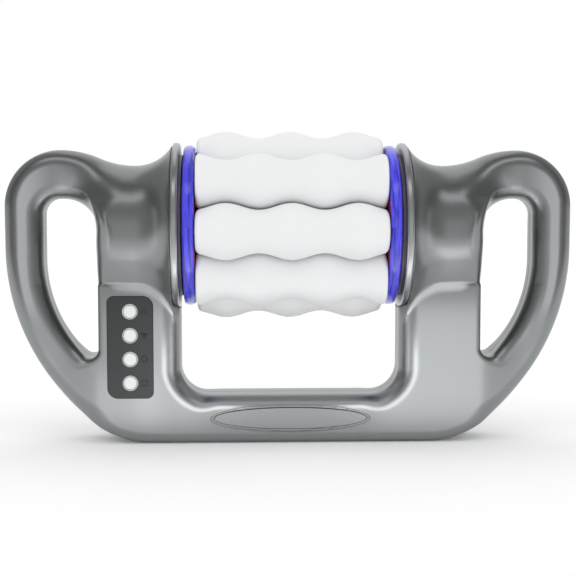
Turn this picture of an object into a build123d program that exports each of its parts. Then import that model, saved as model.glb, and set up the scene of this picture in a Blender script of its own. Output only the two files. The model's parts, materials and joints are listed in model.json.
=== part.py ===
from build123d import *
import os
from math import asin, cos, degrees, pi, radians, sin

# Two-handed electric roller massager.
#
# A rigid housing with two closed D grips, two barrels and a bar along the bottom carries a
# powered drum between the barrels. Eight wavy foam rollers idle on steel axles round the drum.
#
# Frame: X along the drum axis, the front of the housing faces -Y, +Z is up. The origin is on
# the ground below the middle of the drum. All sizes are in millimetres.

# ---- Driving sizes: drum and rollers ----
drum_z = 140.8  # height of the drum axis over the ground
roller_count = 8
pitch_r = 42.9  # circle of the roller axes
roller_r = 15.7  # mean foam radius
wave_height = 2.1  # foam radius swings this much about the mean
wave_length = 41.3
roller_length = 120.4
roller_end_round = 3.0
rest_turn = 3.5  # degrees that the drum rests turned about its axis
core_tube_r = 24.0
core_tube_wall = 2.0
roller_axle_r = 2.5
roller_core_r = 6.0
end_plate_r = 47.5
end_plate_lip = 0.3
end_plate_thickness = 3.4
end_ring_r = 52.0
end_ring_bore_r = 45.6
end_ring_width = 7.5
hub_r = 15.0
hub_thickness = 2.6
hub_boss_r = 8.0
hub_boss_length = 1.4
hub_screw_circle = 11.0
hub_screw_count = 4
hub_screw_depth = 2.4
axle_seat = 2.4  # how far an axle reaches into each end plate
core_overhang = 0.2
rim_flat = 0.1
drive_shaft_r = 3.0
idler_shaft_r = 4.0

# ---- Driving sizes: housing ----
wall = 2.5
foot_inset = 94.0  # from the outer side of the grip in to the end of the flat foot
sweep_drop = 15.9  # how far below the foot the large arc of the side would reach
grip_low_drop = 14.2  # the straight grip begins this far below the drum axis
corner_r = 36.5  # upper outer corner
crest_rise = 48.8  # highest point of the arm over the drum axis
neck_length = 24.4  # from the barrel's mouth to where the arm runs into its neck
neck_r = 38.8
grip_width = 25.0
grip_part = 1.0  # how far past a leg's side the grip's piece begins
grip_half_depth = 16.0
grip_round = 10.5
leg_half_depth = 21.0
leg_round = 5.0
leg_width = 52.6
leg_top_sink = 2.0  # how far the legs reach into the underside of the barrels
gap_floor_z = 31.0  # floor of the opening under the drum
gap_corner_r = 18.0
loop_width = 35.4  # finger opening
arm_depth = 31.4  # from the crest of the arm down to the finger opening
loop_top_inner_r = 22.0
loop_top_outer_r = 10.5
loop_low_drop = 22.0  # the grip's straight inside ends this far below the drum axis
loop_low_r = 87.4  # long arc along the inside of the grip
loop_corner_r = 6.0
barrel_end_round = 6.0

# ---- Driving sizes: barrel mouth ----
mouth_gap = 2.5  # from the drum's end ring to the flange ring
flange_width = 4.6
flange_r = 53.6
flange_round = 1.6
trumpet_r = 52.8  # radius of the shell where it meets the flange ring
collar_r = 45.8
collar_gap = 0.9  # from the drum's end ring to the collar's face
collar_floor = 3.0
collar_brim = 1.2  # thickness of the rim that the flange ring holds
collar_skirt_wall = 3.0

# ---- Driving sizes: controls ----
panel_edge = 20.6  # from the outer side of the leg to the middle of the panel
panel_drop = 77.6  # middle of the panel below the drum axis
panel_width = 29.0
panel_height = 65.6
panel_thickness = 1.2
panel_sink = 1.0  # depth of the pocket that the panel lies in
panel_small_r = 4.0
panel_large_r = 6.6
button_pitch = 15.4
button_r = 4.1
button_proud = 0.8
button_travel = 0.5
bezel_width = 0.55
bezel_proud = 0.35
badge_half_length = 49.0
badge_half_height = 6.7
badge_rise = 1.1  # middle of the badge above the middle of the bar
badge_rim = 2.8  # width of the recess that shows round the plate
badge_depth = 1.0

# ---- Driving sizes: insides ----
board_thickness = 1.6
board_margin = 2.5
board_standoff = 7.0
switch_size = 6.0
switch_height = 3.5
plunger_r = 1.7
plunger_height = 0.6
motor_r = 17.0
motor_end_gap = 2.4  # behind the motor, inside the barrel's end
gearbox_r = 18.5
gearbox_length = 20.0
gearbox_boss_r = 6.0
cell_r = 9.2
cell_length = 65.0
cell_count = 2
tray_end = 2.5
contact_thickness = 0.6
port_width = 9.4
port_height = 3.6
port_depth = 8.0
port_wall = 1.0
port_inset = 10.0  # from the end of the flat foot in to the socket
port_drop = 0.5  # middle of the socket below the middle of the bar
screw_r = 1.5
screw_head_r = 2.8
screw_head_height = 2.0
screw_length = 12.0
boss_wall = 2.0
bush_r = 8.0
bush_lip = 1.5
small_screw_r = 1.2
small_head_r = 2.2
small_head_height = 1.3
gearbox_screw_circle = 13.0
gearbox_screw_count = 4
gearbox_screw_length = 6.0
motor_chamfer = 1.0
board_post_r = 2.4
board_screw_r = 0.9
board_head_r = 1.7
board_head_height = 1.2
port_tongue = 0.8
tray_wall = 1.6
screw_seat_y = 6.0
grip_screw_drop = 6.0  # screws in the grips, below the drum axis
arm_screw_inset = 41.0  # screws in the arms, in from the outer side of the grip
sweep_screw_inset = 36.0  # lower screws, in from the outer side of the grip
sweep_screw_z = 50.0
foot_screw_inset = 4.0  # screws past the ends of the foot
foot_screw_z = 15.0
button_flange = 1.2
button_edge = 0.5
plunger_slack = 0.1  # left between a key and its switch at full travel

# ---- Clearances ----
running = 0.05  # radial, a turning shaft in its bore
seat = 0.3  # between neighbours that do not touch
face_gap = 0.5  # between turning and standing faces
button_gap = 0.3  # round each button
panel_gap = 0.1  # round the panel and the socket

# ---- Sizes that follow ----
roller_half = roller_length / 2
end_plate_x = roller_half + face_gap
end_ring_x = end_plate_x + end_plate_lip
ring_outer_x = end_ring_x + end_ring_width
hub_x = end_plate_x + end_plate_thickness
flange_face_x = ring_outer_x + mouth_gap
collar_face_x = ring_outer_x + collar_gap
barrel_mouth_x = flange_face_x + flange_width
gap_half_width = flange_face_x
leg_outer_x = gap_half_width + leg_width
barrel_end_x = leg_outer_x
loop_outer_x = leg_outer_x + loop_width
half_width = loop_outer_x + grip_width
neck_x = barrel_mouth_x + neck_length
neck_top_z = drum_z + neck_r
crest_z = drum_z + crest_rise
corner_x = half_width - corner_r
corner_z = crest_z - corner_r
grip_low_z = drum_z - grip_low_drop
leg_top_z = drum_z - neck_r + leg_top_sink
loop_top_z = crest_z - arm_depth
loop_low_z = drum_z - loop_low_drop
sweep_r = grip_low_z + sweep_drop
base_half = half_width - foot_inset
panel_x = panel_edge - leg_outer_x
panel_z = drum_z - panel_drop
badge_z = gap_floor_z / 2 + badge_rise
port_x = base_half - port_inset
port_z = gap_floor_z / 2 - port_drop
collar_back_x = barrel_mouth_x + collar_floor
gearbox_x = collar_back_x
motor_x = gearbox_x + gearbox_length
motor_length = barrel_end_x - wall - motor_end_gap - motor_x
leg_inside_y = leg_half_depth - wall
board_front_y = leg_inside_y - board_standoff
boss_r = screw_head_r + seat + boss_wall
port_outer_width = port_width + 2 * port_wall
port_outer_height = port_height + 2 * port_wall
shaft_start_x = end_plate_x + seat
drive_shaft_end = gearbox_x + gearbox_length / 2
plunger_tip_y = board_front_y + switch_height + plunger_height
button_back_y = plunger_tip_y + button_travel + plunger_slack
button_flange_y = leg_inside_y - seat
cell_z = gap_floor_z / 2
tray_half_length = cell_count * cell_length / 2 + contact_thickness + tray_end + seat
button_names = ["up", "down", "timer", "power"]
button_z = [panel_z + button_pitch * (1.5 - i) for i in range(len(button_names))]
screw_places = [
    ((half_width + loop_outer_x) / 2, drum_z - grip_screw_drop, grip_half_depth),
    (half_width - arm_screw_inset, (crest_z + loop_top_z) / 2, grip_half_depth),
    (half_width - sweep_screw_inset, sweep_screw_z, grip_half_depth),
    (base_half + foot_screw_inset, foot_screw_z, leg_half_depth),
]

grip_part_x = leg_outer_x + grip_part
bar_part_x = gap_half_width - gap_corner_r * (1 - cos(radians(45)))

drum_axis = Axis((0, 0, drum_z), (1, 0, 0))


def save(piece: BuildPart, name: str) -> None:
    """Label one finished piece and write it as its own STEP file."""
    piece.part.label = name
    export_step(piece.part, f"parts/{name}.step")


def side_plane(side: int, x: float) -> Plane:
    """A plane across the drum axis at the distance x, facing outward on the given side."""
    return Plane(origin=(side * x, 0, drum_z), x_dir=(0, side, 0), z_dir=(side, 0, 0))


def roller_centre(index: int) -> tuple:
    """Where a roller's axis crosses the middle of the drum; roller 0 is the front one."""
    angle = radians(360 / roller_count * index - rest_turn)
    return (0, -pitch_r * cos(angle), drum_z + pitch_r * sin(angle))


def discs(side: int, *steps: tuple) -> Part:
    """Coaxial discs about the drum axis: each step is (from x, to x, radius, bore radius)."""
    with BuildPart() as stack:
        for start, stop, radius, bore in steps:
            with BuildSketch(side_plane(side, start)):
                Circle(radius)
                if bore > 0:
                    Circle(bore, mode=Mode.SUBTRACT)
            extrude(amount=stop - start)
    return stack.part


def pegs(plane: Plane, spots: list, radius: float, length: float) -> Part:
    """Round bars that stand on a plane at the given spots."""
    with BuildPart() as bars:
        with BuildSketch(plane):
            with Locations(spots):
                Circle(radius)
        extrude(amount=length)
    return bars.part


def ring_spots(circle: float, count: int) -> list:
    """Evenly spaced spots on a circle."""
    turns = [2 * pi * i / count for i in range(count)]
    return [(circle * cos(turn), circle * sin(turn)) for turn in turns]


# ---------------------------------------------------------------- housing outlines


def outer_half(inset: float) -> Sketch:
    """The right half of the housing's front outline, moved inward by inset."""
    radius = sweep_r - inset
    centre = (half_width - sweep_r, grip_low_z)
    foot = base_half - centre[0]
    toe_r = (foot**2 + grip_low_z**2 - sweep_r**2) / (2 * (grip_low_z - sweep_r))
    slope = degrees(asin(foot / (sweep_r - toe_r)))
    low = slope - 90
    right = half_width - inset
    crest = (corner_x, crest_z - inset)
    neck = (neck_x, neck_top_z - inset)
    middle = ((crest[0] + neck[0]) / 2, (crest[1] + neck[1]) / 2)
    with BuildSketch() as half:
        with BuildLine():
            Line((0, inset), (base_half, inset))
            CenterArc((base_half, toe_r), toe_r - inset, -90, arc_size=slope)
            CenterArc(centre, radius, low, arc_size=-low)
            Line((right, grip_low_z), (right, corner_z))
            CenterArc((corner_x, corner_z), corner_r - inset, 0, arc_size=90)
            first = TangentArc(crest, middle, tangent=(-1, 0))
            TangentArc(middle, neck, tangent=first % 1)
            Line(neck, (0, neck[1]))
            Line((0, neck[1]), (0, inset))
        make_face()
    return half.sketch


def finger_loop(inset: float) -> Sketch:
    """The right finger opening, grown by inset."""
    inner = leg_outer_x - inset
    outer = loop_outer_x + inset
    top = loop_top_z + inset
    r_in = loop_top_inner_r + inset
    r_out = loop_top_outer_r + inset
    low_r = loop_low_r + inset
    low_x = outer - low_r
    foot_z = loop_low_z - (low_r**2 - (inner - low_x) ** 2) ** 0.5
    slope = (low_r**2 - ((inner + outer) / 2 - low_x) ** 2) ** 0.5
    with BuildSketch() as loop:
        with BuildLine():
            Line((inner, foot_z), (inner, top - r_in))
            CenterArc((inner + r_in, top - r_in), r_in, 180, arc_size=-90)
            Line((inner + r_in, top), (outer - r_out, top))
            CenterArc((outer - r_out, top - r_out), r_out, 90, arc_size=-90)
            low = Line((outer, top - r_out), (outer, loop_low_z))
            ThreePointArc(low @ 1, ((inner + outer) / 2, loop_low_z - slope), (inner, foot_z))
        make_face()
        fillet(loop.vertices().sort_by(Axis.Y)[0], loop_corner_r + inset)
    return loop.sketch


def housing_outline(inset: float) -> Sketch:
    """The housing seen from the front, shrunk by inset, with all its openings."""
    with BuildSketch() as outline:
        add(outer_half(inset))
        add(finger_loop(inset), mode=Mode.SUBTRACT)
        mirror(about=Plane.YZ)
        width = 2 * (gap_half_width + inset)
        floor = gap_floor_z - inset
        with Locations((0, (floor + drum_z) / 2)):
            RectangleRounded(width, drum_z - floor, gap_corner_r + inset, mode=Mode.SUBTRACT)
    return outline.sketch


def leg_outline(inset: float) -> Sketch:
    """The thicker part of the housing: both legs and the bar between them."""
    with BuildSketch() as outline:
        add(housing_outline(inset))
        top = leg_top_z - inset
        with Locations((0, top / 2)):
            Rectangle(2 * (leg_outer_x - inset), top, mode=Mode.INTERSECT)
    return outline.sketch


def flare_r(x: float) -> float:
    """Outer radius of the trumpet at x: an arc that leaves the neck along the drum axis."""
    reach = neck_x - barrel_mouth_x
    rise = trumpet_r - neck_r
    arc_r = (reach**2 + rise**2) / (2 * rise)
    return neck_r + arc_r - (arc_r**2 - (neck_x - x) ** 2) ** 0.5


def barrel(side: int, inset: float) -> Part:
    """One barrel: a trumpet from the mouth down to the neck, then a round-ended drum."""
    mouth_r = trumpet_r - inset
    small_r = neck_r - inset
    end_x = barrel_end_x - inset
    end_r = barrel_end_round - inset
    plane = Plane(origin=(0, 0, drum_z), x_dir=(side, 0, 0), z_dir=(0, -side, 0))
    with BuildPart() as body:
        with BuildSketch(plane):
            with BuildLine():
                Line((barrel_mouth_x, 0), (barrel_mouth_x, mouth_r))
                TangentArc((neck_x, small_r), (barrel_mouth_x, mouth_r), tangent=(-1, 0))
                Line((neck_x, small_r), (end_x - end_r, small_r))
                CenterArc((end_x - end_r, small_r - end_r), end_r, 90, arc_size=-90)
                Line((end_x, small_r - end_r), (end_x, 0))
                Line((end_x, 0), (barrel_mouth_x, 0))
            make_face()
        revolve(axis=drum_axis)
    return body.part


def rounded_slab(outline: Sketch, half_depth: float, rounding: float) -> Part:
    """Extrude an outline to both sides of the middle plane and round its front and back."""
    with BuildPart() as slab:
        with BuildSketch(Plane.XZ):
            add(outline)
        extrude(amount=half_depth, both=True)
        rims = slab.edges().group_by(Axis.Y)
        fillet(rims[0] + rims[-1], rounding)
    return slab.part


def housing_solid(inset: float) -> Part:
    """The filled housing, shrunk by inset: grips and arms, legs and bar, and both barrels."""
    grips = rounded_slab(housing_outline(inset), grip_half_depth - inset, grip_round - inset)
    legs = rounded_slab(leg_outline(inset), leg_half_depth - inset, leg_round - inset)
    with BuildPart() as solid:
        add(grips)
        add(legs)
        for side in (-1, 1):
            mouth = (0, barrel_mouth_x + inset, flange_r + inset, 0)
            add(discs(side, mouth), mode=Mode.SUBTRACT)
            add(barrel(side, inset))
    return solid.part


# ---------------------------------------------------------------- housing shells


def panel_plane(depth: float) -> Plane:
    """A plane parallel to the left leg's front face, at a distance in front of the middle."""
    return Plane(origin=(panel_x, -depth, panel_z), x_dir=(1, 0, 0), z_dir=(0, -1, 0))


def rising_corners(face: BuildSketch) -> list:
    """The two corners of the panel's outline that are still sharp, at its upper right and lower left."""
    corners = face.vertices().filter_by(lambda v: v.X * v.Y > 0)
    return [v for v in corners if abs(abs(v.X) - panel_width / 2) + abs(abs(v.Y) - panel_height / 2) < 0.01]


def panel_face(grow: float) -> Sketch:
    """The control panel's outline: opposite corners share a radius."""
    with BuildSketch() as face:
        Rectangle(panel_width, panel_height)
        fillet([v for v in face.vertices() if v.X * v.Y < 0], panel_small_r)
        fillet(rising_corners(face), panel_large_r)
        if grow > 0:
            offset(amount=grow)
    return face.sketch


def badge_plane(depth: float) -> Plane:
    """A plane parallel to the front of the bar, at a distance in front of the middle."""
    return Plane(origin=(0, -depth, badge_z), x_dir=(1, 0, 0), z_dir=(0, -1, 0))


def button_spots() -> list:
    """Where the buttons stand on the panel's plane."""
    return [(0, z - panel_z) for z in button_z]


def board_spots() -> list:
    """Where the board's corner screws stand on the panel's plane."""
    across = panel_width / 2 - 2 * board_margin
    up = panel_height / 2 - board_margin
    return [(i * across, j * up) for i in (-1, 1) for j in (-1, 1)]


def screw_spots() -> list:
    """Every housing screw as (x, z, half depth of the housing there)."""
    return [(side * x, z, depth) for x, z, depth in screw_places for side in (-1, 1)]


def bars_along_y(spots: list, start: float, stop: float, radius: float) -> Part:
    """Round bars along Y at (x, z) spots, between two distances behind the middle."""
    plane = Plane(origin=(0, start, 0), x_dir=(-1, 0, 0), z_dir=(0, 1, 0))
    return pegs(plane, [(-x, z) for x, z in spots], radius, stop - start)


def hollow_housing() -> Part:
    """The whole hollow housing with its screw bosses, before it is parted in two."""
    with BuildPart() as hollow:
        add(housing_solid(0))
        add(housing_solid(wall), mode=Mode.SUBTRACT)
        for x, z, depth in screw_spots():
            reach = depth - wall / 2
            add(bars_along_y([(x, z)], -reach, reach, boss_r))
    return hollow.part


def save_parted(shell: BuildPart, half: str) -> None:
    """Part a half shell into its bar, its two sides and its two grips, and write the five pieces.

    The bar ends at the middle of the corner arcs under the drum, and a grip begins just past the leg.
    """
    height = 2 * crest_z
    places = ("left_grip", "left_side", "bar", "right_side", "right_grip")
    names = [f"{half}_{place}" for place in places]
    cuts = [-half_width, -grip_part_x, -bar_part_x, bar_part_x, grip_part_x, half_width]
    for name, low, high in zip(names, cuts, cuts[1:]):
        with BuildPart() as piece:
            add(shell.part)
            with Locations(((low + high) / 2, 0, 0)):
                Box(high - low, 4 * flange_r, 2 * height, mode=Mode.INTERSECT)
        save(piece, name)


def build_front_shell(hollow: Part) -> None:
    """The front half with the panel's pocket, button holes, board posts and badge recess."""
    spots = [(x, z) for x, z, _ in screw_spots()]
    board_plane = panel_plane(board_front_y)
    hole_plane = panel_plane(leg_inside_y - seat)
    with BuildPart() as shell:
        add(hollow)
        split(bisect_by=Plane.XZ, keep=Keep.TOP)
        pilot = -screw_length / 2 - seat
        add(bars_along_y(spots, pilot, 0, screw_r + running), mode=Mode.SUBTRACT)
        add(pegs(board_plane, board_spots(), board_post_r, board_standoff + wall / 2))
        pilots = pegs(board_plane, board_spots(), board_screw_r + running, board_standoff - seat)
        add(pilots, mode=Mode.SUBTRACT)
        with BuildSketch(panel_plane(leg_half_depth - panel_sink)):
            add(panel_face(panel_gap))
        extrude(amount=2 * panel_sink, mode=Mode.SUBTRACT)
        add(pegs(hole_plane, button_spots(), button_r + button_gap, 2 * wall), mode=Mode.SUBTRACT)
        with BuildSketch(badge_plane(leg_half_depth - badge_depth)):
            Ellipse(badge_half_length + badge_rim, badge_half_height + badge_rim)
        extrude(amount=2 * badge_depth, mode=Mode.SUBTRACT)
    save_parted(shell, "front")


def build_rear_shell(hollow: Part) -> None:
    """The rear half with counterbored screw holes and the charging socket's window."""
    with BuildPart() as shell:
        add(hollow)
        split(bisect_by=Plane.XZ, keep=Keep.BOTTOM)
        for x, z, depth in screw_spots():
            spot = [(x, z)]
            add(bars_along_y(spot, 0, depth, screw_r + running), mode=Mode.SUBTRACT)
            sink = bars_along_y(spot, screw_seat_y, depth + wall, screw_head_r + seat)
            add(sink, mode=Mode.SUBTRACT)
        with BuildSketch(port_plane(leg_half_depth + wall)):
            SlotOverall(port_outer_width + 2 * panel_gap, port_outer_height + 2 * panel_gap)
        extrude(amount=2 * wall + seat, mode=Mode.SUBTRACT)
    save_parted(shell, "rear")


def port_plane(depth: float) -> Plane:
    """A plane across the charging socket, facing forward into the housing from the rear."""
    return Plane(origin=(port_x, depth, port_z), x_dir=(1, 0, 0), z_dir=(0, -1, 0))


def build_charge_socket() -> None:
    """A slotted socket flush with the rear, with the contact tongue inside it."""
    with BuildPart() as socket:
        with BuildSketch(port_plane(leg_half_depth)):
            SlotOverall(port_outer_width, port_outer_height)
        extrude(amount=port_depth + port_wall)
        with BuildSketch(port_plane(leg_half_depth)):
            SlotOverall(port_width, port_height)
        extrude(amount=port_depth, mode=Mode.SUBTRACT)
        with BuildSketch(port_plane(leg_half_depth - port_wall)):
            Rectangle(port_width - port_height, port_tongue)
        extrude(amount=port_depth)
    save(socket, "charge_socket")


def build_housing_screws() -> None:
    """Eight pan-head screws, driven from the rear into the front shell's bosses."""
    spots = [(x, z) for x, z, _ in screw_spots()]
    head_top = screw_seat_y + screw_head_height
    with BuildPart() as screws:
        add(bars_along_y(spots, -screw_length / 2, screw_seat_y, screw_r))
        add(bars_along_y(spots, screw_seat_y, head_top, screw_head_r))
        socket = bars_along_y(spots, screw_seat_y + screw_head_height / 2, head_top, screw_r / 2)
        add(socket, mode=Mode.SUBTRACT)
    save(screws, "housing_screws")


# ---------------------------------------------------------------- barrel mouths


def side_name(side: int) -> str:
    return "left" if side < 0 else "right"


def build_flange_ring(side: int) -> None:
    """The beaded ring round the barrel's mouth, round on both outer edges."""
    with BuildPart() as ring:
        add(discs(side, (flange_face_x, barrel_mouth_x, flange_r, collar_r + seat)))
        rims = ring.edges().filter_by(GeomType.CIRCLE).group_by(SortBy.RADIUS)
        fillet(rims[-1], flange_round)
    save(ring, f"{side_name(side)}_flange_ring")


def build_collar(side: int, bore: float) -> None:
    """The dark cup that closes the barrel's mouth; its floor carries the drive or the bush."""
    brim_x = barrel_mouth_x + collar_brim
    skirt = (collar_face_x, barrel_mouth_x, collar_r, collar_r - collar_skirt_wall)
    brim = (barrel_mouth_x, brim_x, flare_r(brim_x) - wall - seat, bore)
    floor = (brim_x, collar_back_x, flare_r(collar_back_x) - wall - seat, bore)
    with BuildPart() as collar:
        add(discs(side, skirt, brim, floor))
        if side < 0:
            plane = side_plane(side, barrel_mouth_x)
            spots = ring_spots(gearbox_screw_circle, gearbox_screw_count)
            add(pegs(plane, spots, small_screw_r + running, collar_floor), mode=Mode.SUBTRACT)
    save(collar, f"{side_name(side)}_collar")


def small_screws(side: int, spots: list, seat_x: float, out: int, length: float) -> Part:
    """Small screws along the drum axis; out is 1 where the heads face away from the drum."""
    away = Plane(origin=(side * seat_x, 0, drum_z), x_dir=(0, side, 0), z_dir=(side * out, 0, 0))
    with BuildPart() as screws:
        add(pegs(away, [(out * x, y) for x, y in spots], small_head_r, small_head_height))
        add(pegs(away, [(out * x, y) for x, y in spots], small_screw_r, -length))
    return screws.part


# ---------------------------------------------------------------- drive and idler


def build_drive() -> None:
    """Geared motor on the left collar: gearbox with its output bore, motor, screws, shaft."""
    side = -1
    spots = ring_spots(gearbox_screw_circle, gearbox_screw_count)
    boss = (barrel_mouth_x, gearbox_x, gearbox_boss_r, 0)
    case = (gearbox_x, motor_x, gearbox_r, 0)
    bore = (barrel_mouth_x, drive_shaft_end + seat, drive_shaft_r + running, 0)
    with BuildPart() as gearbox:
        add(discs(side, boss, case))
        add(discs(side, bore), mode=Mode.SUBTRACT)
        plane = side_plane(side, gearbox_x)
        holes = pegs(plane, spots, small_screw_r + running, gearbox_screw_length)
        add(holes, mode=Mode.SUBTRACT)
    save(gearbox, "gearbox_case")

    with BuildPart() as motor:
        add(discs(side, (motor_x, motor_x + motor_length, motor_r, 0)))
        chamfer(motor.edges().group_by(Axis.X)[0], motor_chamfer)
    save(motor, "drive_motor")

    with BuildPart() as screws:
        length = collar_floor + gearbox_screw_length - seat
        add(small_screws(side, spots, barrel_mouth_x, -1, length))
    save(screws, "gearbox_screws")

    with BuildPart() as shaft:
        add(discs(side, (shaft_start_x, drive_shaft_end, drive_shaft_r, 0)))
    save(shaft, "drive_shaft")


def build_idler() -> None:
    """Plain bush in the right collar and the stub shaft that turns in it."""
    side = 1
    bore = idler_shaft_r + running
    lip = (barrel_mouth_x - bush_lip, barrel_mouth_x, bush_r + bush_lip, bore)
    sleeve = (barrel_mouth_x, collar_back_x + bush_lip, bush_r, bore)
    with BuildPart() as bush:
        add(discs(side, lip, sleeve))
    save(bush, "idler_bush")

    with BuildPart() as shaft:
        add(discs(side, (shaft_start_x, collar_back_x + 2 * bush_lip, idler_shaft_r, 0)))
    save(shaft, "idler_shaft")


# ---------------------------------------------------------------- drum


def axle_plane(x: float) -> Plane:
    """A plane across the drum at x, turned so that its local X points to roller 0."""
    _, y, z = roller_centre(0)
    return Plane(origin=(x, 0, drum_z), x_dir=(0, y, z - drum_z), z_dir=(1, 0, 0))


def build_end_plate(side: int, shaft_r: float) -> None:
    """Maroon end disc with a lip, blind holes for the axles and tapped holes for the hub."""
    lip = (end_plate_x, end_ring_x, end_plate_r, 0)
    body = (end_ring_x, hub_x, end_ring_bore_r - running, 0)
    axle_spots = ring_spots(pitch_r, roller_count)
    hub_spots = ring_spots(hub_screw_circle, hub_screw_count)
    with BuildPart() as plate:
        add(discs(side, lip, body))
        add(discs(side, (end_plate_x, hub_x, shaft_r + running, 0)), mode=Mode.SUBTRACT)
        face = axle_plane(side * end_plate_x)
        holes = pegs(face, axle_spots, roller_axle_r + running, side * (axle_seat + seat))
        add(holes, mode=Mode.SUBTRACT)
        back = side_plane(side, hub_x)
        pilots = pegs(back, hub_spots, small_screw_r + running, -hub_screw_depth - seat)
        add(pilots, mode=Mode.SUBTRACT)
    save(plate, f"{side_name(side)}_end_plate")


def build_end_ring(side: int) -> None:
    """Translucent ring seated on the end plate, with a fully rounded rim."""
    with BuildPart() as ring:
        add(discs(side, (end_ring_x, end_ring_x + end_ring_width, end_ring_r, end_ring_bore_r)))
        rims = ring.edges().filter_by(GeomType.CIRCLE).group_by(SortBy.RADIUS)
        fillet(rims[-1], end_ring_width / 2 - rim_flat)
    save(ring, f"{side_name(side)}_end_ring")


def build_hub(side: int, shaft_r: float, name: str) -> None:
    """Flanged hub that joins the end plate to its shaft."""
    bore = shaft_r + running
    boss_x = hub_x + hub_thickness
    flange = (hub_x, boss_x, hub_r, bore)
    boss = (boss_x, boss_x + hub_boss_length, hub_boss_r, bore)
    with BuildPart() as hub:
        add(discs(side, flange, boss))
        spots = ring_spots(hub_screw_circle, hub_screw_count)
        holes = pegs(side_plane(side, hub_x), spots, small_screw_r + running, hub_thickness)
        add(holes, mode=Mode.SUBTRACT)
    save(hub, name)


def build_hub_screws() -> None:
    """Screws that hold both hubs to their end plates, heads facing the barrels."""
    spots = ring_spots(hub_screw_circle, hub_screw_count)
    with BuildPart() as screws:
        for side in (-1, 1):
            length = hub_thickness + hub_screw_depth
            add(small_screws(side, spots, hub_x + hub_thickness, 1, length))
    save(screws, "hub_screws")


def build_core_tube() -> None:
    """Maroon tube between the end plates, behind the rollers."""
    with BuildPart() as tube:
        with BuildSketch(side_plane(1, 0)):
            Circle(core_tube_r)
            Circle(core_tube_r - core_tube_wall, mode=Mode.SUBTRACT)
        extrude(amount=end_plate_x, both=True)
    save(tube, "core_tube")


def build_roller_axles() -> None:
    """Eight steel pins between the end plates."""
    with BuildPart() as axles:
        with BuildSketch(axle_plane(0)):
            with PolarLocations(pitch_r, roller_count):
                Circle(roller_axle_r)
        extrude(amount=end_plate_x + axle_seat, both=True)
    save(axles, "roller_axles")


# ---------------------------------------------------------------- rollers


def roller_radius(x: float, crest: int) -> float:
    """Foam radius at x: a cosine wave that has a crest or a hollow at the middle."""
    return roller_r + crest * wave_height * cos(2 * pi * x / wave_length)


def build_roller(index: int) -> None:
    """One foam roller and the plastic tube it is bonded to."""
    plane = Plane(origin=roller_centre(index), x_dir=(1, 0, 0), z_dir=(0, -1, 0))
    axis = Axis(roller_centre(index), (1, 0, 0))
    crest = 1 if index % 2 == 0 else -1
    shoulder = roller_half - roller_end_round
    steps = 24
    xs = [shoulder * (2 * i / steps - 1) for i in range(steps + 1)]
    wave = [(x, roller_radius(x, crest)) for x in xs]
    end_r = wave[0][1] - roller_end_round
    bore_r = roller_core_r + running
    with BuildPart() as foam:
        with BuildSketch(plane):
            with BuildLine():
                Spline(*wave)
                for side, tip in ((-1, wave[0]), (1, wave[-1])):
                    face = (side * roller_half, end_r)
                    ThreePointArc(tip, end_arc_middle(side, shoulder, end_r), face)
                    Line(face, (side * roller_half, bore_r))
                Line((-roller_half, bore_r), (roller_half, bore_r))
            make_face()
        revolve(axis=axis)
    save(foam, f"roller_{index + 1}")

    with BuildPart() as core:
        with BuildSketch(Plane(origin=roller_centre(index), z_dir=(1, 0, 0))):
            Circle(roller_core_r)
            Circle(roller_axle_r + running, mode=Mode.SUBTRACT)
        extrude(amount=roller_half + core_overhang, both=True)
    save(core, f"roller_core_{index + 1}")


def end_arc_middle(side: int, shoulder: float, end_r: float) -> tuple:
    """The middle of the quarter arc that rounds a roller's end."""
    reach = roller_end_round * sin(radians(45))
    return (side * (shoulder + reach), end_r + reach)


# ---------------------------------------------------------------- controls


def build_control_panel() -> None:
    """Dark plate in the left leg's pocket, with the rings round its button holes."""
    with BuildPart() as panel:
        with BuildSketch(panel_plane(leg_half_depth - panel_sink)):
            add(panel_face(0))
            with Locations(button_spots()):
                Circle(button_r + button_gap, mode=Mode.SUBTRACT)
        extrude(amount=panel_thickness)
    save(panel, "control_panel")

    with BuildPart() as bezels:
        with BuildSketch(panel_plane(leg_half_depth - panel_sink + panel_thickness)):
            with Locations(button_spots()):
                Circle(button_r + button_gap + bezel_width)
                Circle(button_r + button_gap, mode=Mode.SUBTRACT)
        extrude(amount=bezel_proud)
    save(bezels, "button_bezels")


def build_button(index: int) -> None:
    """One push button: a cap through the panel and a flange that keeps it in."""
    spot = [button_spots()[index]]
    flange_length = button_flange_y - button_back_y
    stem_length = leg_half_depth + button_proud - button_flange_y
    with BuildPart() as button:
        add(pegs(panel_plane(button_back_y), spot, button_r + button_flange, flange_length))
        add(pegs(panel_plane(button_flange_y), spot, button_r, stem_length))
        fillet(button.edges().group_by(Axis.Y)[0], button_edge)
    save(button, f"button_{button_names[index]}")


def build_control_board() -> None:
    """Circuit board on four posts, its four switches and its screws."""
    width = panel_width - board_margin
    with BuildPart() as board:
        with BuildSketch(panel_plane(board_front_y)):
            Rectangle(width, panel_height + board_margin)
            with Locations(board_spots()):
                Circle(board_screw_r + running, mode=Mode.SUBTRACT)
        extrude(amount=-board_thickness)
    save(board, "control_board")

    with BuildPart() as switches:
        with BuildSketch(panel_plane(board_front_y)):
            with Locations(button_spots()):
                Rectangle(switch_size, switch_size)
        extrude(amount=switch_height)
        with BuildSketch(panel_plane(board_front_y + switch_height)):
            with Locations(button_spots()):
                Circle(plunger_r)
        extrude(amount=plunger_height)
    save(switches, "tact_switches")

    back = board_front_y - board_thickness
    shank = board_thickness + board_standoff - 2 * seat
    with BuildPart() as screws:
        add(pegs(panel_plane(back), board_spots(), board_head_r, -board_head_height))
        add(pegs(panel_plane(back), board_spots(), board_screw_r, shank))
    save(screws, "board_screws")


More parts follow.
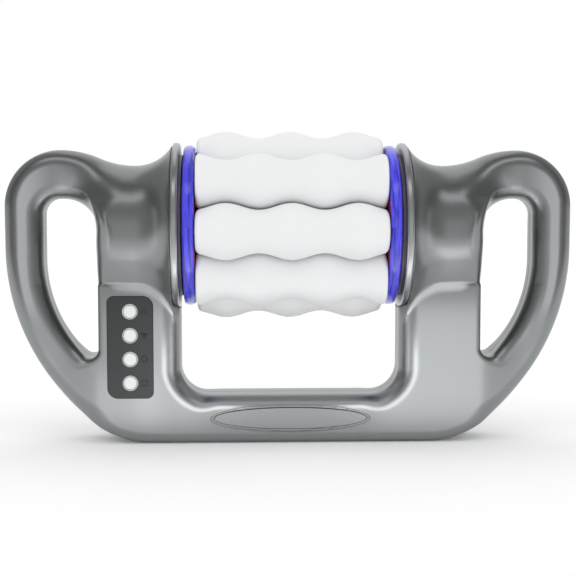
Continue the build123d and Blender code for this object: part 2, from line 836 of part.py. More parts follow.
def build_badge_plate() -> None:
    """Bare oval plate that lies flush in the recess on the bar."""
    with BuildPart() as plate:
        with BuildSketch(badge_plane(leg_half_depth - badge_depth)):
            Ellipse(badge_half_length, badge_half_height)
        extrude(amount=badge_depth)
    save(plate, "badge_plate")


# ---------------------------------------------------------------- battery


def cell_plane(x: float) -> Plane:
    """A plane across the battery cells at x."""
    return Plane(origin=(x, 0, cell_z), x_dir=(0, 1, 0), z_dir=(1, 0, 0))


def build_battery() -> None:
    """Cells in a row along the bar, end contacts and the tray that they lie in."""
    half = cell_count * cell_length / 2
    cell = pegs(cell_plane(-half), [(0, 0)], cell_r, cell_length).solid()
    row = Compound(children=[Pos(i * cell_length, 0, 0) * cell for i in range(cell_count)])
    row.label = "battery_cells"
    export_step(row, "parts/battery_cells.step")

    with BuildPart() as contacts:
        for x in (-half - contact_thickness, half):
            add(pegs(cell_plane(x), [(0, 0)], cell_r - seat, contact_thickness))
    save(contacts, "battery_contacts")

    with BuildPart() as tray:
        trough_r = cell_r + seat
        depth = trough_r + tray_wall
        with BuildSketch(Plane.XY.offset(wall)):
            Rectangle(2 * tray_half_length, 2 * depth)
        extrude(amount=cell_z - wall)
        inner = half + contact_thickness + seat
        add(pegs(cell_plane(-inner), [(0, 0)], trough_r, 2 * inner), mode=Mode.SUBTRACT)
    save(tray, "battery_holder")


# ---------------------------------------------------------------- build all


def main() -> None:
    os.makedirs("parts", exist_ok=True)
    hollow = hollow_housing()
    build_front_shell(hollow)
    build_rear_shell(hollow)
    build_housing_screws()
    build_charge_socket()
    for side, bore in ((-1, gearbox_boss_r + seat), (1, bush_r + running)):
        build_flange_ring(side)
        build_collar(side, bore)
    build_drive()
    build_idler()
    for side, shaft_r, name in (
        (-1, drive_shaft_r, "drive_hub"),
        (1, idler_shaft_r, "idler_hub"),
    ):
        build_end_plate(side, shaft_r)
        build_end_ring(side)
        build_hub(side, shaft_r, name)
    build_hub_screws()
    build_core_tube()
    build_roller_axles()
    for index in range(roller_count):
        build_roller(index)
    build_control_panel()
    for index in range(len(button_names)):
        build_button(index)
    build_control_board()
    build_badge_plate()
    build_battery()


main()
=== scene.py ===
"""Looks of a two-handed electric roller massager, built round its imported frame.

X runs along the drum axis, the front of the housing faces -Y and +Z is up, in metres.
"""

import json
import logging
from dataclasses import dataclass
from enum import Enum
from math import cos, pi, radians, sin
from typing import Callable

import bmesh
import bpy
import numpy as np
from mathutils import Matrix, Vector

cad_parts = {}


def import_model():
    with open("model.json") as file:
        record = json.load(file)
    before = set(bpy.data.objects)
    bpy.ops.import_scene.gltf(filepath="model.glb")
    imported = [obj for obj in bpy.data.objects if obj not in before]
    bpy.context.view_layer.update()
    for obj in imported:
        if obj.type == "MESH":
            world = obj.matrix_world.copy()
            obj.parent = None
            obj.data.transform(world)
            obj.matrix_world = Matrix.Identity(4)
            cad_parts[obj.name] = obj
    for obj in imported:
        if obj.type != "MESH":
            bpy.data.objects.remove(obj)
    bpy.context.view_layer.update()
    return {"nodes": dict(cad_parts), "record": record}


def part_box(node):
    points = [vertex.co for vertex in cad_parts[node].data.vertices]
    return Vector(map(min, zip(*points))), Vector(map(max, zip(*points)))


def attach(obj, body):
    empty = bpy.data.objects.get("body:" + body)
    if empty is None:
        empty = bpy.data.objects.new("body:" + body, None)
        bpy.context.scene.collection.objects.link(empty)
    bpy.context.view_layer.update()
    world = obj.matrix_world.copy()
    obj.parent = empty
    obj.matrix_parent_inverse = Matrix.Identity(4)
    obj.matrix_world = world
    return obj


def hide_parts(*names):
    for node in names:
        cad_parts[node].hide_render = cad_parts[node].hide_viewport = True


LOG = logging.getLogger("roller_massager")
MM = 0.001
DRUM_Z = 140.8  # height of the drum axis, in millimetres
PANEL_PLACE = (-103.0, 63.2)  # middle of the control panel as (x, z), in millimetres
PANEL_HALF = (14.5, 32.8)  # half its width and height
WHITE = (1.0, 1.0, 1.0, 1.0)
Array = np.ndarray
Colour = tuple[float, float, float]
Pair = tuple[float, float]
Tree = bpy.types.NodeTree
Piece = bpy.types.Object


# --- mesh helpers


class Wrap(Enum):
    """Which directions of a grid close on themselves."""

    ACROSS = "across"
    BOTH = "both"


def grid_faces(rows: int, columns: int, wrap: Wrap) -> Array:
    """Quads of a grid of points stored row by row, where each row closes on itself.

    Args:
        rows: Number of rows, along the piece.
        columns: Number of points in a row, round the piece.
        wrap: Whether the last row joins the first as well.

    Returns:
        An array of four vertex numbers for each quad.
    """
    last_row = rows if wrap is Wrap.BOTH else rows - 1
    i, j = np.meshgrid(np.arange(last_row), np.arange(columns), indexing="ij")
    i, j = i.ravel(), j.ravel()
    down, right = (i + 1) % rows, (j + 1) % columns
    return np.stack([i * columns + j, down * columns + j, down * columns + right, i * columns + right], 1)


def show(name: str, data: bpy.types.ID) -> Piece:
    """Put a mesh or a camera into the scene as a new object at the origin."""
    thing = bpy.data.objects.new(name, data)
    bpy.context.scene.collection.objects.link(thing)
    return thing


def around(steps: int) -> Array:
    """Angles spread evenly over a full turn, without the last one that meets the first."""
    return np.linspace(0, 2 * pi, steps, endpoint=False)


def mesh_piece(name: str, points: Array, quads: Array, caps: tuple[Array, ...] = ()) -> Piece:
    """Make a smooth mesh object with its faces turned outward.

    Args:
        name: Name of the piece.
        points: Vertices in metres, one row each.
        quads: Four vertex numbers for each face.
        caps: Rings of vertex numbers that are closed with one face each.

    Returns:
        The new object, standing at the origin.
    """
    mesh = bpy.data.meshes.new(name)
    faces = quads.tolist() + [ring.tolist() for ring in caps]
    mesh.from_pydata(points.tolist(), [], faces)
    work = bmesh.new()
    work.from_mesh(mesh)
    bmesh.ops.remove_doubles(work, verts=work.verts, dist=1e-7)
    bmesh.ops.recalc_face_normals(work, faces=work.faces)
    work.to_mesh(mesh)
    work.free()
    mesh.polygons.foreach_set("use_smooth", np.ones(len(mesh.polygons), bool))
    return show(name, mesh)


def lathe(name: str, profile: Array, centre: Array, steps: int) -> Piece:
    """Turn a closed profile about an axis that runs along X.

    Point (i, j) is centre + (x_i, r_i cos t_j, r_i sin t_j), with t_j evenly round the axis.

    Args:
        name: Name of the piece.
        profile: Rows of (x, radius) in metres; the last joins the first.
        centre: A point on the axis, in metres; only its y and z count.
        steps: Points round the axis.

    Returns:
        The turned piece.
    """
    turn = around(steps)
    x = np.repeat(profile[:, :1], steps, 1)
    y = centre[1] + profile[:, 1:] * np.cos(turn)
    z = centre[2] + profile[:, 1:] * np.sin(turn)
    points = np.stack([x, y, z], -1).reshape(-1, 3)
    return mesh_piece(name, points, grid_faces(len(profile), steps, Wrap.BOTH))


# --- finishes


def node_group(name: str, inputs: dict[str, float], outputs: list[str]) -> Tree:
    """Make an empty shader group with float inputs and outputs."""
    group = bpy.data.node_groups.new(name, "ShaderNodeTree")
    for label, value in inputs.items():
        socket = group.interface.new_socket(label, in_out="INPUT", socket_type="NodeSocketFloat")
        socket.default_value = value
    for label in outputs:
        group.interface.new_socket(label, in_out="OUTPUT", socket_type="NodeSocketFloat")
    group.nodes.new("NodeGroupInput")
    group.nodes.new("NodeGroupOutput")
    return group


def math_node(tree: Tree, kind: str, a: object, b: object, c: object = 0.0) -> object:
    """Add a Math node to a tree and give its output; each operand is a number or a socket."""
    node = tree.nodes.new("ShaderNodeMath")
    node.operation = kind
    for socket, value in zip(node.inputs, (a, b, c)):
        if isinstance(value, (int, float)):
            socket.default_value = value
        else:
            tree.links.new(value, socket)
    return node.outputs[0]


def noise(nodes: bpy.types.Nodes, detail: float, roughness: float) -> bpy.types.Node:
    """A three-dimensional noise node with the given detail."""
    texture = nodes.new("ShaderNodeTexNoise")
    texture.inputs["Detail"].default_value = detail
    texture.inputs["Roughness"].default_value = roughness
    return texture


def fill(node: bpy.types.Node, values: dict[str, object]) -> None:
    """Set inputs of a node by their labels."""
    for label, value in values.items():
        node.inputs[label].default_value = value


def new_material(name: str) -> tuple[bpy.types.Material, bpy.types.Nodes, bpy.types.NodeLinks]:
    """A new node material, with its nodes and links."""
    material = bpy.data.materials.new(name)
    material.use_nodes = True
    return material, material.node_tree.nodes, material.node_tree.links


def roughen(tree: Tree, mask: object, span: tuple, to: tuple) -> None:
    """Let a mask set the shader's roughness: over its span, the roughness goes from to[0] to to[1]."""
    nodes, links = tree.nodes, tree.links
    rough = nodes.new("ShaderNodeMapRange")
    fill(rough, {"From Min": span[0], "From Max": span[1], "To Min": to[0], "To Max": to[1]})
    links.new(mask, rough.inputs["Value"])
    links.new(rough.outputs["Result"], nodes["Principled BSDF"].inputs["Roughness"])


def emboss(tree: Tree, height: object, depth: float) -> None:
    """Press a height mask into the shader's normal, to a depth in metres."""
    nodes, links = tree.nodes, tree.links
    bump = nodes.new("ShaderNodeBump")
    fill(bump, {"Distance": depth})
    links.new(height, bump.inputs["Height"])
    links.new(bump.outputs["Normal"], nodes["Principled BSDF"].inputs["Normal"])


def moulding_group() -> Tree:
    """Grain and slow mottling of a moulded or painted skin.

    Returns:
        A group that gives Grain, a fine height from 0 to 1, and Mottle, a slow mask from 0 to 1.
    """
    group = node_group("moulded_skin", {"Grain Scale": 900.0, "Mottle Scale": 14.0}, ["Grain", "Mottle"])
    nodes, links = group.nodes, group.links
    place = nodes.new("ShaderNodeTexCoord")
    for label, detail, roughness in (("Grain", 3.0, 0.6), ("Mottle", 4.0, 0.55)):
        texture = noise(nodes, detail, roughness)
        links.new(place.outputs["Object"], texture.inputs["Vector"])
        links.new(nodes["Group Input"].outputs[f"{label} Scale"], texture.inputs["Scale"])
        links.new(texture.outputs["Fac"], nodes["Group Output"].inputs[label])
    return group


@dataclass(frozen=True)
class Finish:
    """A moulded, painted or metal finish.

    Attributes:
        name: Name of the material.
        colour: Linear colour of the surface.
        roughness: Middle roughness.
        metallic: Metallic share.
        spread: How far the roughness swings with the mottling.
        tint: How much darker the mottled places are, as a share.
        grain_scale: Grains per metre.
        grain_height: Height of the grain in metres.
        mottle_scale: Scale of the slow mottling.
        coat: Clear coat weight.
        coat_roughness: Roughness of the clear coat.
    """

    name: str
    colour: Colour
    roughness: float = 0.4
    metallic: float = 0.0
    spread: float = 0.08
    tint: float = 0.1
    grain_scale: float = 900.0
    grain_height: float = 0.00001
    mottle_scale: float = 14.0
    coat: float = 0.0
    coat_roughness: float = 0.1

    def material(self) -> bpy.types.Material:
        """Build the node material, or find it where it was built before."""
        found = bpy.data.materials.get(self.name)
        return found or self._build()

    def _build(self) -> bpy.types.Material:
        """Place the moulded skin group round a Principled shader."""
        material, nodes, links = new_material(self.name)
        shader = nodes["Principled BSDF"]
        fill(shader, {"Metallic": self.metallic, "Coat Weight": self.coat})
        fill(shader, {"Coat Roughness": self.coat_roughness})
        skin = nodes.new("ShaderNodeGroup")
        skin.node_tree = bpy.data.node_groups.get("moulded_skin") or moulding_group()
        fill(skin, {"Grain Scale": self.grain_scale, "Mottle Scale": self.mottle_scale})
        mix = nodes.new("ShaderNodeMix")
        mix.data_type = "RGBA"
        for label, share in (("A", 1 - self.tint), ("B", 1 + self.tint)):
            mix.inputs[label].default_value = (*[min(1.0, c * share) for c in self.colour], 1)
        links.new(skin.outputs["Mottle"], mix.inputs["Factor"])
        links.new(mix.outputs["Result"], shader.inputs["Base Color"])
        least, most = max(0.02, self.roughness - self.spread), min(1.0, self.roughness + self.spread)
        roughen(material.node_tree, skin.outputs["Mottle"], (0.3, 0.7), (least, most))
        emboss(material.node_tree, skin.outputs["Grain"], self.grain_height)
        return material


def dress(piece: Piece, material: bpy.types.Material) -> None:
    """Give a piece, or a node of the frame, one material in all its slots."""
    if not piece.material_slots:
        piece.data.materials.append(material)
    for place in piece.material_slots:
        place.material = material


HOUSING = Finish("housing_graphite", (0.272, 0.283, 0.285), roughness=0.30, metallic=0.95, spread=0.02,
                 tint=0.02, grain_scale=2400.0, grain_height=0.000002)
FOAM = Finish("roller_foam", (0.88, 0.885, 0.89), roughness=0.62, spread=0.05, tint=0.012,
              grain_scale=1600.0, grain_height=0.00002, mottle_scale=30.0)
BLACK = Finish("black_nylon", (0.02, 0.02, 0.022), roughness=0.45)

SLOT_FINISH: dict[str, Finish] = {
    "housing_grey": HOUSING,
    "foam_white": FOAM,
    "switch_black": BLACK,
    "tray_black": BLACK,
    "socket_black": BLACK,
    "flange_grey": Finish("flange_graphite", (0.44, 0.45, 0.45), roughness=0.3, metallic=0.95,
                          spread=0.02, tint=0.02),
    "collar_dark": Finish("collar_plastic", (0.20, 0.17, 0.18), roughness=0.35, tint=0.12),
    "core_plastic": Finish("core_plastic", (0.5, 0.05, 0.12), roughness=0.4),
    "ring_blue": Finish("end_ring_blue", (0.10, 0.095, 0.72), roughness=0.2, coat=0.8,
                        coat_roughness=0.05, spread=0.04, tint=0.25, mottle_scale=60.0),
    "plate_maroon": Finish("end_plate_maroon", (0.30, 0.014, 0.07), roughness=0.35, tint=0.15),
    "panel_dark": Finish("panel_charcoal", (0.024, 0.0255, 0.027), roughness=0.45, tint=0.05),
    "button_white": Finish("button_white", (0.86, 0.87, 0.88), roughness=0.35, tint=0.01),
    "bezel_grey": Finish("bezel_grey", (0.35, 0.36, 0.37), roughness=0.25, metallic=0.7),
    "badge_grey": Finish("badge_satin", (0.29, 0.30, 0.302), roughness=0.28, metallic=0.95,
                         spread=0.03, tint=0.03),
    "board_green": Finish("board_green", (0.02, 0.13, 0.05), roughness=0.45),
    "steel": Finish("bright_steel", (0.62, 0.62, 0.63), roughness=0.25, metallic=1.0),
    "bronze": Finish("sintered_bronze", (0.55, 0.36, 0.16), roughness=0.4, metallic=1.0),
    "motor_steel": Finish("motor_can", (0.5, 0.5, 0.5), roughness=0.3, metallic=1.0),
    "gearbox_alloy": Finish("gearbox_alloy", (0.45, 0.45, 0.46), roughness=0.45, metallic=0.9),
    "cell_wrap": Finish("cell_wrap", (0.05, 0.16, 0.35), roughness=0.3),
    "hub_white": Finish("hub_nylon", (0.8, 0.8, 0.78), roughness=0.45),
}


# --- housing skin


@dataclass(frozen=True)
class Line:
    """A straight stretch of an outline with the material on its left.

    Attributes:
        start: Where it starts, as (x, z).
        end: Where it ends.
    """

    start: Pair
    end: Pair

    def distance(self, x: Array, z: Array) -> Array:
        """Signed distance to the stretch, negative on its left."""
        px, pz = self.start
        dx, dz = self.end[0] - px, self.end[1] - pz
        share = np.clip(((x - px) * dx + (z - pz) * dz) / (dx * dx + dz * dz), 0, 1)
        far = np.hypot(x - px - share * dx, z - pz - share * dz)
        return np.where(dx * (z - pz) - dz * (x - px) > 0, -far, far)


@dataclass(frozen=True)
class Arc:
    """A round stretch of an outline.

    Attributes:
        centre: Its centre as (x, z).
        radius: Its radius.
        start: Angle where it starts, in degrees.
        stop: Angle where it stops.
        hollow: Whether the material lies outside the circle.
    """

    centre: Pair
    radius: float
    start: float
    stop: float
    hollow: bool = False

    def distance(self, x: Array, z: Array) -> Array:
        """Signed distance to the stretch, negative on the side of the material."""
        dx, dz = x - self.centre[0], z - self.centre[1]
        middle, half = radians((self.start + self.stop) / 2), radians(abs(self.stop - self.start) / 2)
        turn = (np.arctan2(dz, dx) - middle + pi) % (2 * pi) - pi
        near = middle + np.clip(turn, -half, half)
        far = np.hypot(dx - self.radius * np.cos(near), dz - self.radius * np.sin(near))
        out = np.hypot(dx, dz) > self.radius
        return np.where(out != self.hollow, far, -far)


def ease(value: Array, start: float, stop: float) -> Array:
    """A smooth step from 0 at start to 1 at stop: t squared times (3 minus 2 t)."""
    t = np.clip((value - start) / (stop - start), 0, 1)
    return t * t * (3 - 2 * t)


def melt(a: Array, b: Array, reach: float) -> Array:
    """Union of two distances with a fillet: the smaller, less (reach - |a - b|) squared over 4 reach."""
    return np.minimum(a, b) - np.maximum(reach - np.abs(a - b), 0) ** 2 / (4 * reach)


def carve(a: Array, b: Array, reach: float) -> Array:
    """Shape a with shape b taken out, and the rim between them rounded over reach."""
    return -melt(-a, b, reach)


def meet(a: Array, b: Array, rounding: Array) -> Array:
    """Distance to what two forms share, with the edge where they cross rounded to a radius."""
    a, b = a + rounding, b + rounding
    return np.minimum(np.maximum(a, b), 0) + np.hypot(np.maximum(a, 0), np.maximum(b, 0)) - rounding


def slab(flat: Array, y: Array, depth: Array, rounding: Array) -> Array:
    """Distance to an outline extruded by a half depth to both sides of y = 0, with round edges."""
    return meet(flat, np.abs(y) - depth, rounding)


def cells_beside(edges: Array, back: dict[int, int], cells: tuple[int, ...]) -> tuple[Array, Array]:
    """The cells some steps back from grid edges along each axis, and which of them exist."""
    cell = edges.copy()
    for axis, steps in back.items():
        cell[:, axis] -= steps
    return cell, np.all((cell >= 0) & (cell < np.array(cells)), 1)


def surface_net(form: Callable[[Array, Array, Array], Array], axes: list[Array]) -> tuple[Array, Array]:
    """Mesh where a form is zero on a regular grid, with one vertex in each cell that it crosses.

    A vertex is the mean of the crossings on its cell's edges, and each crossed grid edge gives
    one quad between the four cells round it.

    Args:
        form: Gives the signed distance at points (x, y, z).
        axes: The three rows of grid coordinates.

    Returns:
        Vertices, and quads that face the positive side.
    """
    value = form(axes[0][:, None, None], axes[1][None, :, None], axes[2][None, None, :])
    inside = value < 0
    cells = tuple(n - 1 for n in value.shape)
    total, count = np.zeros((3, *cells), np.float32), np.zeros(cells, np.float32)
    crossings = []
    for axis in range(3):
        low = tuple(slice(None, -1) if a == axis else slice(None) for a in range(3))
        high = tuple(slice(1, None) if a == axis else slice(None) for a in range(3))
        crossed = np.argwhere(inside[low] != inside[high])
        a, b = value[low][tuple(crossed.T)], value[high][tuple(crossed.T)]
        spot = [axes[k][crossed[:, k]] for k in range(3)]
        spot[axis] = spot[axis] + (axes[axis][1] - axes[axis][0]) * a / (a - b)
        crossings.append((axis, crossed, a < 0))
        first, second = (k for k in range(3) if k != axis)
        for p, q in ((0, 0), (0, 1), (1, 0), (1, 1)):
            cell, fits = cells_beside(crossed, {first: p, second: q}, cells)
            where = tuple(cell[fits].T)
            np.add.at(count, where, 1)
            for k in range(3):
                np.add.at(total[k], where, spot[k][fits])
    used = np.argwhere(count > 0)
    number = np.full(cells, -1)
    number[tuple(used.T)] = np.arange(len(used))
    points = np.stack([total[k][tuple(used.T)] / count[tuple(used.T)] for k in range(3)], 1)
    quads = []
    for axis, crossed, outward in crossings:
        u, v = (axis + 1) % 3, (axis + 2) % 3
        ring = []
        for p, q in ((0, 0), (1, 0), (1, 1), (0, 1)):
            cell, fits = cells_beside(crossed, {u: p, v: q}, cells)
            ring.append(np.where(fits, number[tuple(np.clip(cell, 0, np.array(cells) - 1).T)], -1))
        quad = np.stack(ring, 1)
        quad[~outward] = quad[~outward][:, ::-1]
        quads.append(quad[np.all(quad >= 0, 1)])
    return points.astype(float), np.concatenate(quads)


@dataclass
class Housing:
    """The blended skin of the housing, in millimetres until its mesh is made.

    Attributes:
        drum_z: Height of the drum axis.
        half_width: Outer side of the grips.
        cell: Size of a mesh cell.
        grip_depth: Half depth of grips and arms.
        grip_round: Radius of their edges.
        leg_depth: Half depth of legs and bar.
        leg_top: Height of the ledge at the top of the legs.
        neck: Radius of the barrels' neck.
        mouth: Radius of the shell at the barrel's mouth.
        mouth_x: Where the mouth is.
        neck_x: Where the flare meets the neck.
        leg_x: Outer side of the legs and end of the barrels.
        taper: How much the barrel narrows from its neck to its end.
        flange: Radius of the flange ring.
        skirt_angle: Degrees below the axis where the barrel's side turns straight.
        skirt_turn: How much further round that is at the mouth.
        blend: Where the arm starts turning into the barrel, and where it is all barrel.
        rim: Radius of the barrel's end towards the finger opening.
        parting: How deep the groove between the halves is.
        foot: Half length of the flat foot.
        sweep_r: Radius of the long curve from the foot up to the grip.
        grip_low: Height where the grip's straight outer side begins.
        corner_r: Radius of the grip's upper corner.
        crest_top: Height of the grip's top.
        neck_top: Height of the outline over the neck.
        gap_half: Half width of the gap under the drum.
        gap_floor: Height of its floor.
        gap_corner: Radius of its corners.
        loop_top: Height of the top of the finger opening.
        loop_outer: Its outer side.
        loop_low: Height where that side begins to curve in.
        loop_sweep: Radius of that curve.
        loop_corners: Radii of its upper inner, upper outer and lower corners.
        overlap: How far the arm and the web reach into the leg.
        arm_floor: Height down to which the arm's slab goes on inside the leg.
        dish_z: Height of the middle of the badge's dish.
        dish_half: Half its width and height.
        screws: Places of the rear screws as (x, z).
    """

    drum_z: float = DRUM_Z
    half_width: float = 184.0
    cell: float = 1.0
    grip_depth: float = 16.0
    grip_round: float = 10.5
    leg_depth: float = 21.0
    leg_top: float = 105.5
    neck: float = 38.8
    mouth: float = 52.8
    mouth_x: float = 75.6
    neck_x: float = 100.0
    leg_x: float = 123.6
    taper: float = 2.4
    flange: float = 53.6
    skirt_angle: float = 34.0
    skirt_turn: float = 14.0
    blend: Pair = (152.0, 106.0)
    rim: float = 13.0
    parting: float = 0.3
    foot: float = 90.0
    sweep_r: float = 142.5
    grip_low: float = 126.6
    corner_r: float = 36.5
    crest_top: float = 189.6
    neck_top: float = 179.6
    gap_half: float = 71.0
    gap_floor: float = 31.0
    gap_corner: float = 18.0
    loop_top: float = 158.2
    loop_outer: float = 159.0
    loop_low: float = 118.8
    loop_sweep: float = 87.4
    loop_corners: tuple[float, float, float] = (22.0, 10.5, 6.0)
    overlap: float = 1.5
    arm_floor: float = 125.0
    dish_z: float = 16.7
    dish_half: Pair = (52.7, 9.8)
    screws: tuple = ((171.5, 134.8), (143.0, 173.9), (148.0, 50.0), (96.0, 15.0))

    def outline(self) -> list[Line | Arc]:
        """Every stretch of the right half's outline, with the finger opening and the drum gap."""
        past = -30.0  # the lines along X start well past the middle plane
        sweep = (self.half_width - self.sweep_r, self.grip_low)
        reach = self.foot - sweep[0]
        toe = (reach**2 + self.grip_low**2 - self.sweep_r**2) / (2 * (self.grip_low - self.sweep_r))
        slope = np.degrees(np.arcsin(reach / (self.sweep_r - toe)))
        corner = (self.half_width - self.corner_r, self.crest_top - self.corner_r)
        rise, run = (self.crest_top - self.neck_top) / 2, (corner[0] - self.neck_x) / 2
        bend = (rise**2 + run**2) / (2 * rise)
        tilt = np.degrees(np.arcsin(run / bend))
        inner, ledge = self.gap_half - self.gap_corner, self.gap_floor + self.gap_corner
        return [
            Line((past, 0), (self.foot, 0)),
            Arc((self.foot, toe), toe, -90, slope - 90),
            Arc(sweep, self.sweep_r, slope - 90, 0),
            Line((self.half_width, self.grip_low), (self.half_width, corner[1])),
            Arc(corner, self.corner_r, 0, 90),
            Arc((corner[0], self.crest_top - bend), bend, 90, 90 + tilt),
            Arc((self.neck_x, self.neck_top + bend), bend, tilt - 90, -90, hollow=True),
            Line((self.neck_x, self.neck_top), (self.gap_half, self.neck_top)),
            Line((self.gap_half, self.neck_top), (self.gap_half, ledge)),
            Arc((inner, ledge), self.gap_corner, -90, 0, hollow=True),
            Line((inner, self.gap_floor), (past, self.gap_floor)),
            *self.finger_opening(),
        ]

    def finger_opening(self) -> list[Line | Arc]:
        """The opening between a leg and its grip."""
        top, outer = self.loop_top, self.loop_outer
        inner_r, outer_r, low_r = self.loop_corners
        sweep = (outer - self.loop_sweep, self.loop_low)
        low_x = self.leg_x + low_r
        low_z = sweep[1] - ((self.loop_sweep - low_r) ** 2 - (low_x - sweep[0]) ** 2) ** 0.5
        turn = float(np.degrees(np.arctan2(low_z - sweep[1], low_x - sweep[0])))
        return [
            Line((self.leg_x, low_z), (self.leg_x, top - inner_r)),
            Arc((self.leg_x + inner_r, top - inner_r), inner_r, 90, 180, hollow=True),
            Line((self.leg_x + inner_r, top), (outer - outer_r, top)),
            Arc((outer - outer_r, top - outer_r), outer_r, 0, 90, hollow=True),
            Line((outer, top - outer_r), (outer, sweep[1])),
            Arc(sweep, self.loop_sweep, turn, 0, hollow=True),
            Arc((low_x, low_z), low_r, 180, 360 + turn, hollow=True),
        ]

    def flat(self, x: Array, z: Array, stretches: list[Line | Arc] | None = None) -> Array:
        """Signed distance to the whole outline, or to some stretches: that of the nearest one."""
        best = np.full(np.broadcast(x, z).shape, 1e3)
        for stretch in stretches or self.outline():
            near = stretch.distance(x, z)
            best = np.where(np.abs(near) < np.abs(best), near, best)
        return best

    def crest(self, x: Array) -> Array:
        """Height of the arm's top over the barrel: two equal arcs up from the neck to the grip."""
        low, high = self.drum_z + self.neck, self.crest_top
        run, rise = self.half_width - self.corner_r - self.neck_x, high - low
        bend = (rise**2 + run**2) / (4 * rise)
        along = np.clip(x - self.neck_x, 0, run)
        first = low + bend - np.sqrt(bend**2 - np.minimum(along, run / 2) ** 2)
        second = high - bend + np.sqrt(bend**2 - np.minimum(run - along, run / 2) ** 2)
        return np.where(along < run / 2, first, second)

    def barrel(self, x: Array, y: Array, z: Array) -> Array:
        """Distance to a barrel that flares to its mouth and runs down to the leg.

        The flare is an arc that leaves the neck along the axis: its radius is
        neck + R - sqrt(R^2 - (neck_x - x)^2), with R from the rise and run of the flare. Past the
        neck the radius falls with the square of the distance, while the upper half is stretched
        to reach the crest. Below the axis the round section goes on along its tangent, at the
        skirt's angle, which turns steeper up the flare.
        """
        run, rise = self.neck_x - self.mouth_x, self.mouth - self.neck
        bend = (run**2 + rise**2) / (2 * rise)
        root = np.sqrt(bend**2 - np.clip(self.neck_x - x, 0, run) ** 2)
        farthest = 40.0  # the taper stops growing this far past the neck
        past = np.clip(x - self.neck_x, 0, farthest) / (self.leg_x - self.neck_x)
        radius = self.neck + bend - root - self.taper * past**2
        drop = self.drum_z - z
        stretch = np.where(x > self.neck_x, radius / (self.crest(x) - self.drum_z), 1.0)
        around = np.hypot(y, np.where(drop < 0, drop * stretch, drop)) - radius
        lean = np.radians(self.skirt_angle + self.skirt_turn * (bend - root) / rise)
        skirt = np.abs(y) * np.cos(lean) + drop * np.sin(lean) - radius
        below = np.maximum(skirt, np.abs(y) - radius * np.cos(lean))
        side = np.minimum(around, np.maximum(below, -drop)) * root / bend
        return np.maximum(side, self.mouth_x - x)

    def upper(self, x: Array, y: Array, z: Array, flat: Array) -> Array:
        """Distance to arms, grips and barrels: the arm's slab turns gradually into the barrel.

        It is (1 - t) times the slab's distance plus t times the barrel's, where t eases from 0 at
        the grip to 1 at the neck, sooner below the arm. The barrel's rim on the finger opening is
        rounded, widely at its front and rear and little below.
        """
        least_rim, less_above, lean, low_reach = 3.0, 4.0, 0.55, 30.0
        arm_flat = np.maximum(flat, np.minimum(self.leg_x - self.overlap - x, self.arm_floor - z))
        arm = slab(arm_flat, y, self.grip_depth, self.grip_round)
        opening = self.flat(x, z, self.finger_opening())
        front = y**2 / (y**2 + (z - self.drum_z) ** 2 + 1.0)
        rim = least_rim + (self.rim - least_rim - less_above * ease(z, 132, 158)) * front
        barrel = meet(opening, self.barrel(x, y, z), rim)
        share = ease(x - lean * np.clip(160 - z, 0, low_reach), *self.blend)
        return arm + (barrel - arm) * share

    def edge_round(self, x: Array, z: Array) -> Array:
        """Radius of the front edges of legs and bar.

        It is small on the leg's side of the finger opening, large on the inner side of the legs
        and round the corners of the gap, and reaches the grips' radius along the sweep.
        """
        leg_outer, leg_inner, bar_low, bar_gain, corner_gain = 3.5, 14.0, 7.5, 1.5, 3.5
        leg = leg_outer + (leg_inner - leg_outer) * ease(x, 108, 88)
        bar = bar_low + bar_gain * ease(z, 10, 22) + corner_gain * ease(x, 44, 62) * ease(z, 10, 26)
        base = bar + (leg - bar) * ease(z, 26, 48)
        return base + (self.grip_round - base) * ease(x, 124, 142)

    def form(self, x: Array, y: Array, z: Array) -> Array:
        """Signed distance to the housing: plates, legs and barrels with fillets between them."""
        x = np.abs(x)
        flat = self.flat(x, z)
        web_low, web_high, web_depth, web_round = 95.0, 130.0, 11.0, 8.0
        ledge_round, web_fillet, widest, less_outside = 3.5, 2.0, 3.0, 2.98
        web_flat = np.maximum(flat, x - self.leg_x + self.overlap)
        web_flat = np.maximum(web_flat, np.maximum(web_low - z, z - web_high))
        web = slab(web_flat, y, web_depth, web_round)
        depth = self.grip_depth + (self.leg_depth - self.grip_depth) * ease(x, 154, 122)
        legs = meet(slab(flat, y, depth, self.edge_round(x, z)), z - self.leg_top, ledge_round)
        crease = widest - less_outside * ease(x, 110, self.leg_x - 2)
        whole = melt(melt(self.upper(x, y, z, flat), web, web_fillet), legs, crease)
        radial = np.hypot(y, z - self.drum_z)
        return np.maximum(whole, -np.maximum(radial - self.flange, x - self.mouth_x))

    def rear_form(self, x: Array, y: Array, z: Array) -> Array:
        """The form with the screws' wells sunk into its rear."""
        whole = self.form(x, y, z)
        well_radius, well_floor, well_rim = 3.1, 6.0, 0.9
        for place in self.screws:
            well = np.maximum(np.hypot(np.abs(x) - place[0], z - place[1]) - well_radius, well_floor - y)
            whole = carve(whole, well, well_rim)
        return whole

    def gradient(self, form: Callable, points: Array) -> Array:
        """Slope of a form at points, from differences over 0.04 mm."""
        step = 0.02
        slope = np.zeros_like(points)
        for axis in range(3):
            move = np.zeros(3)
            move[axis] = step
            slope[:, axis] = form(*(points + move).T) - form(*(points - move).T)
        return slope / (2 * step)

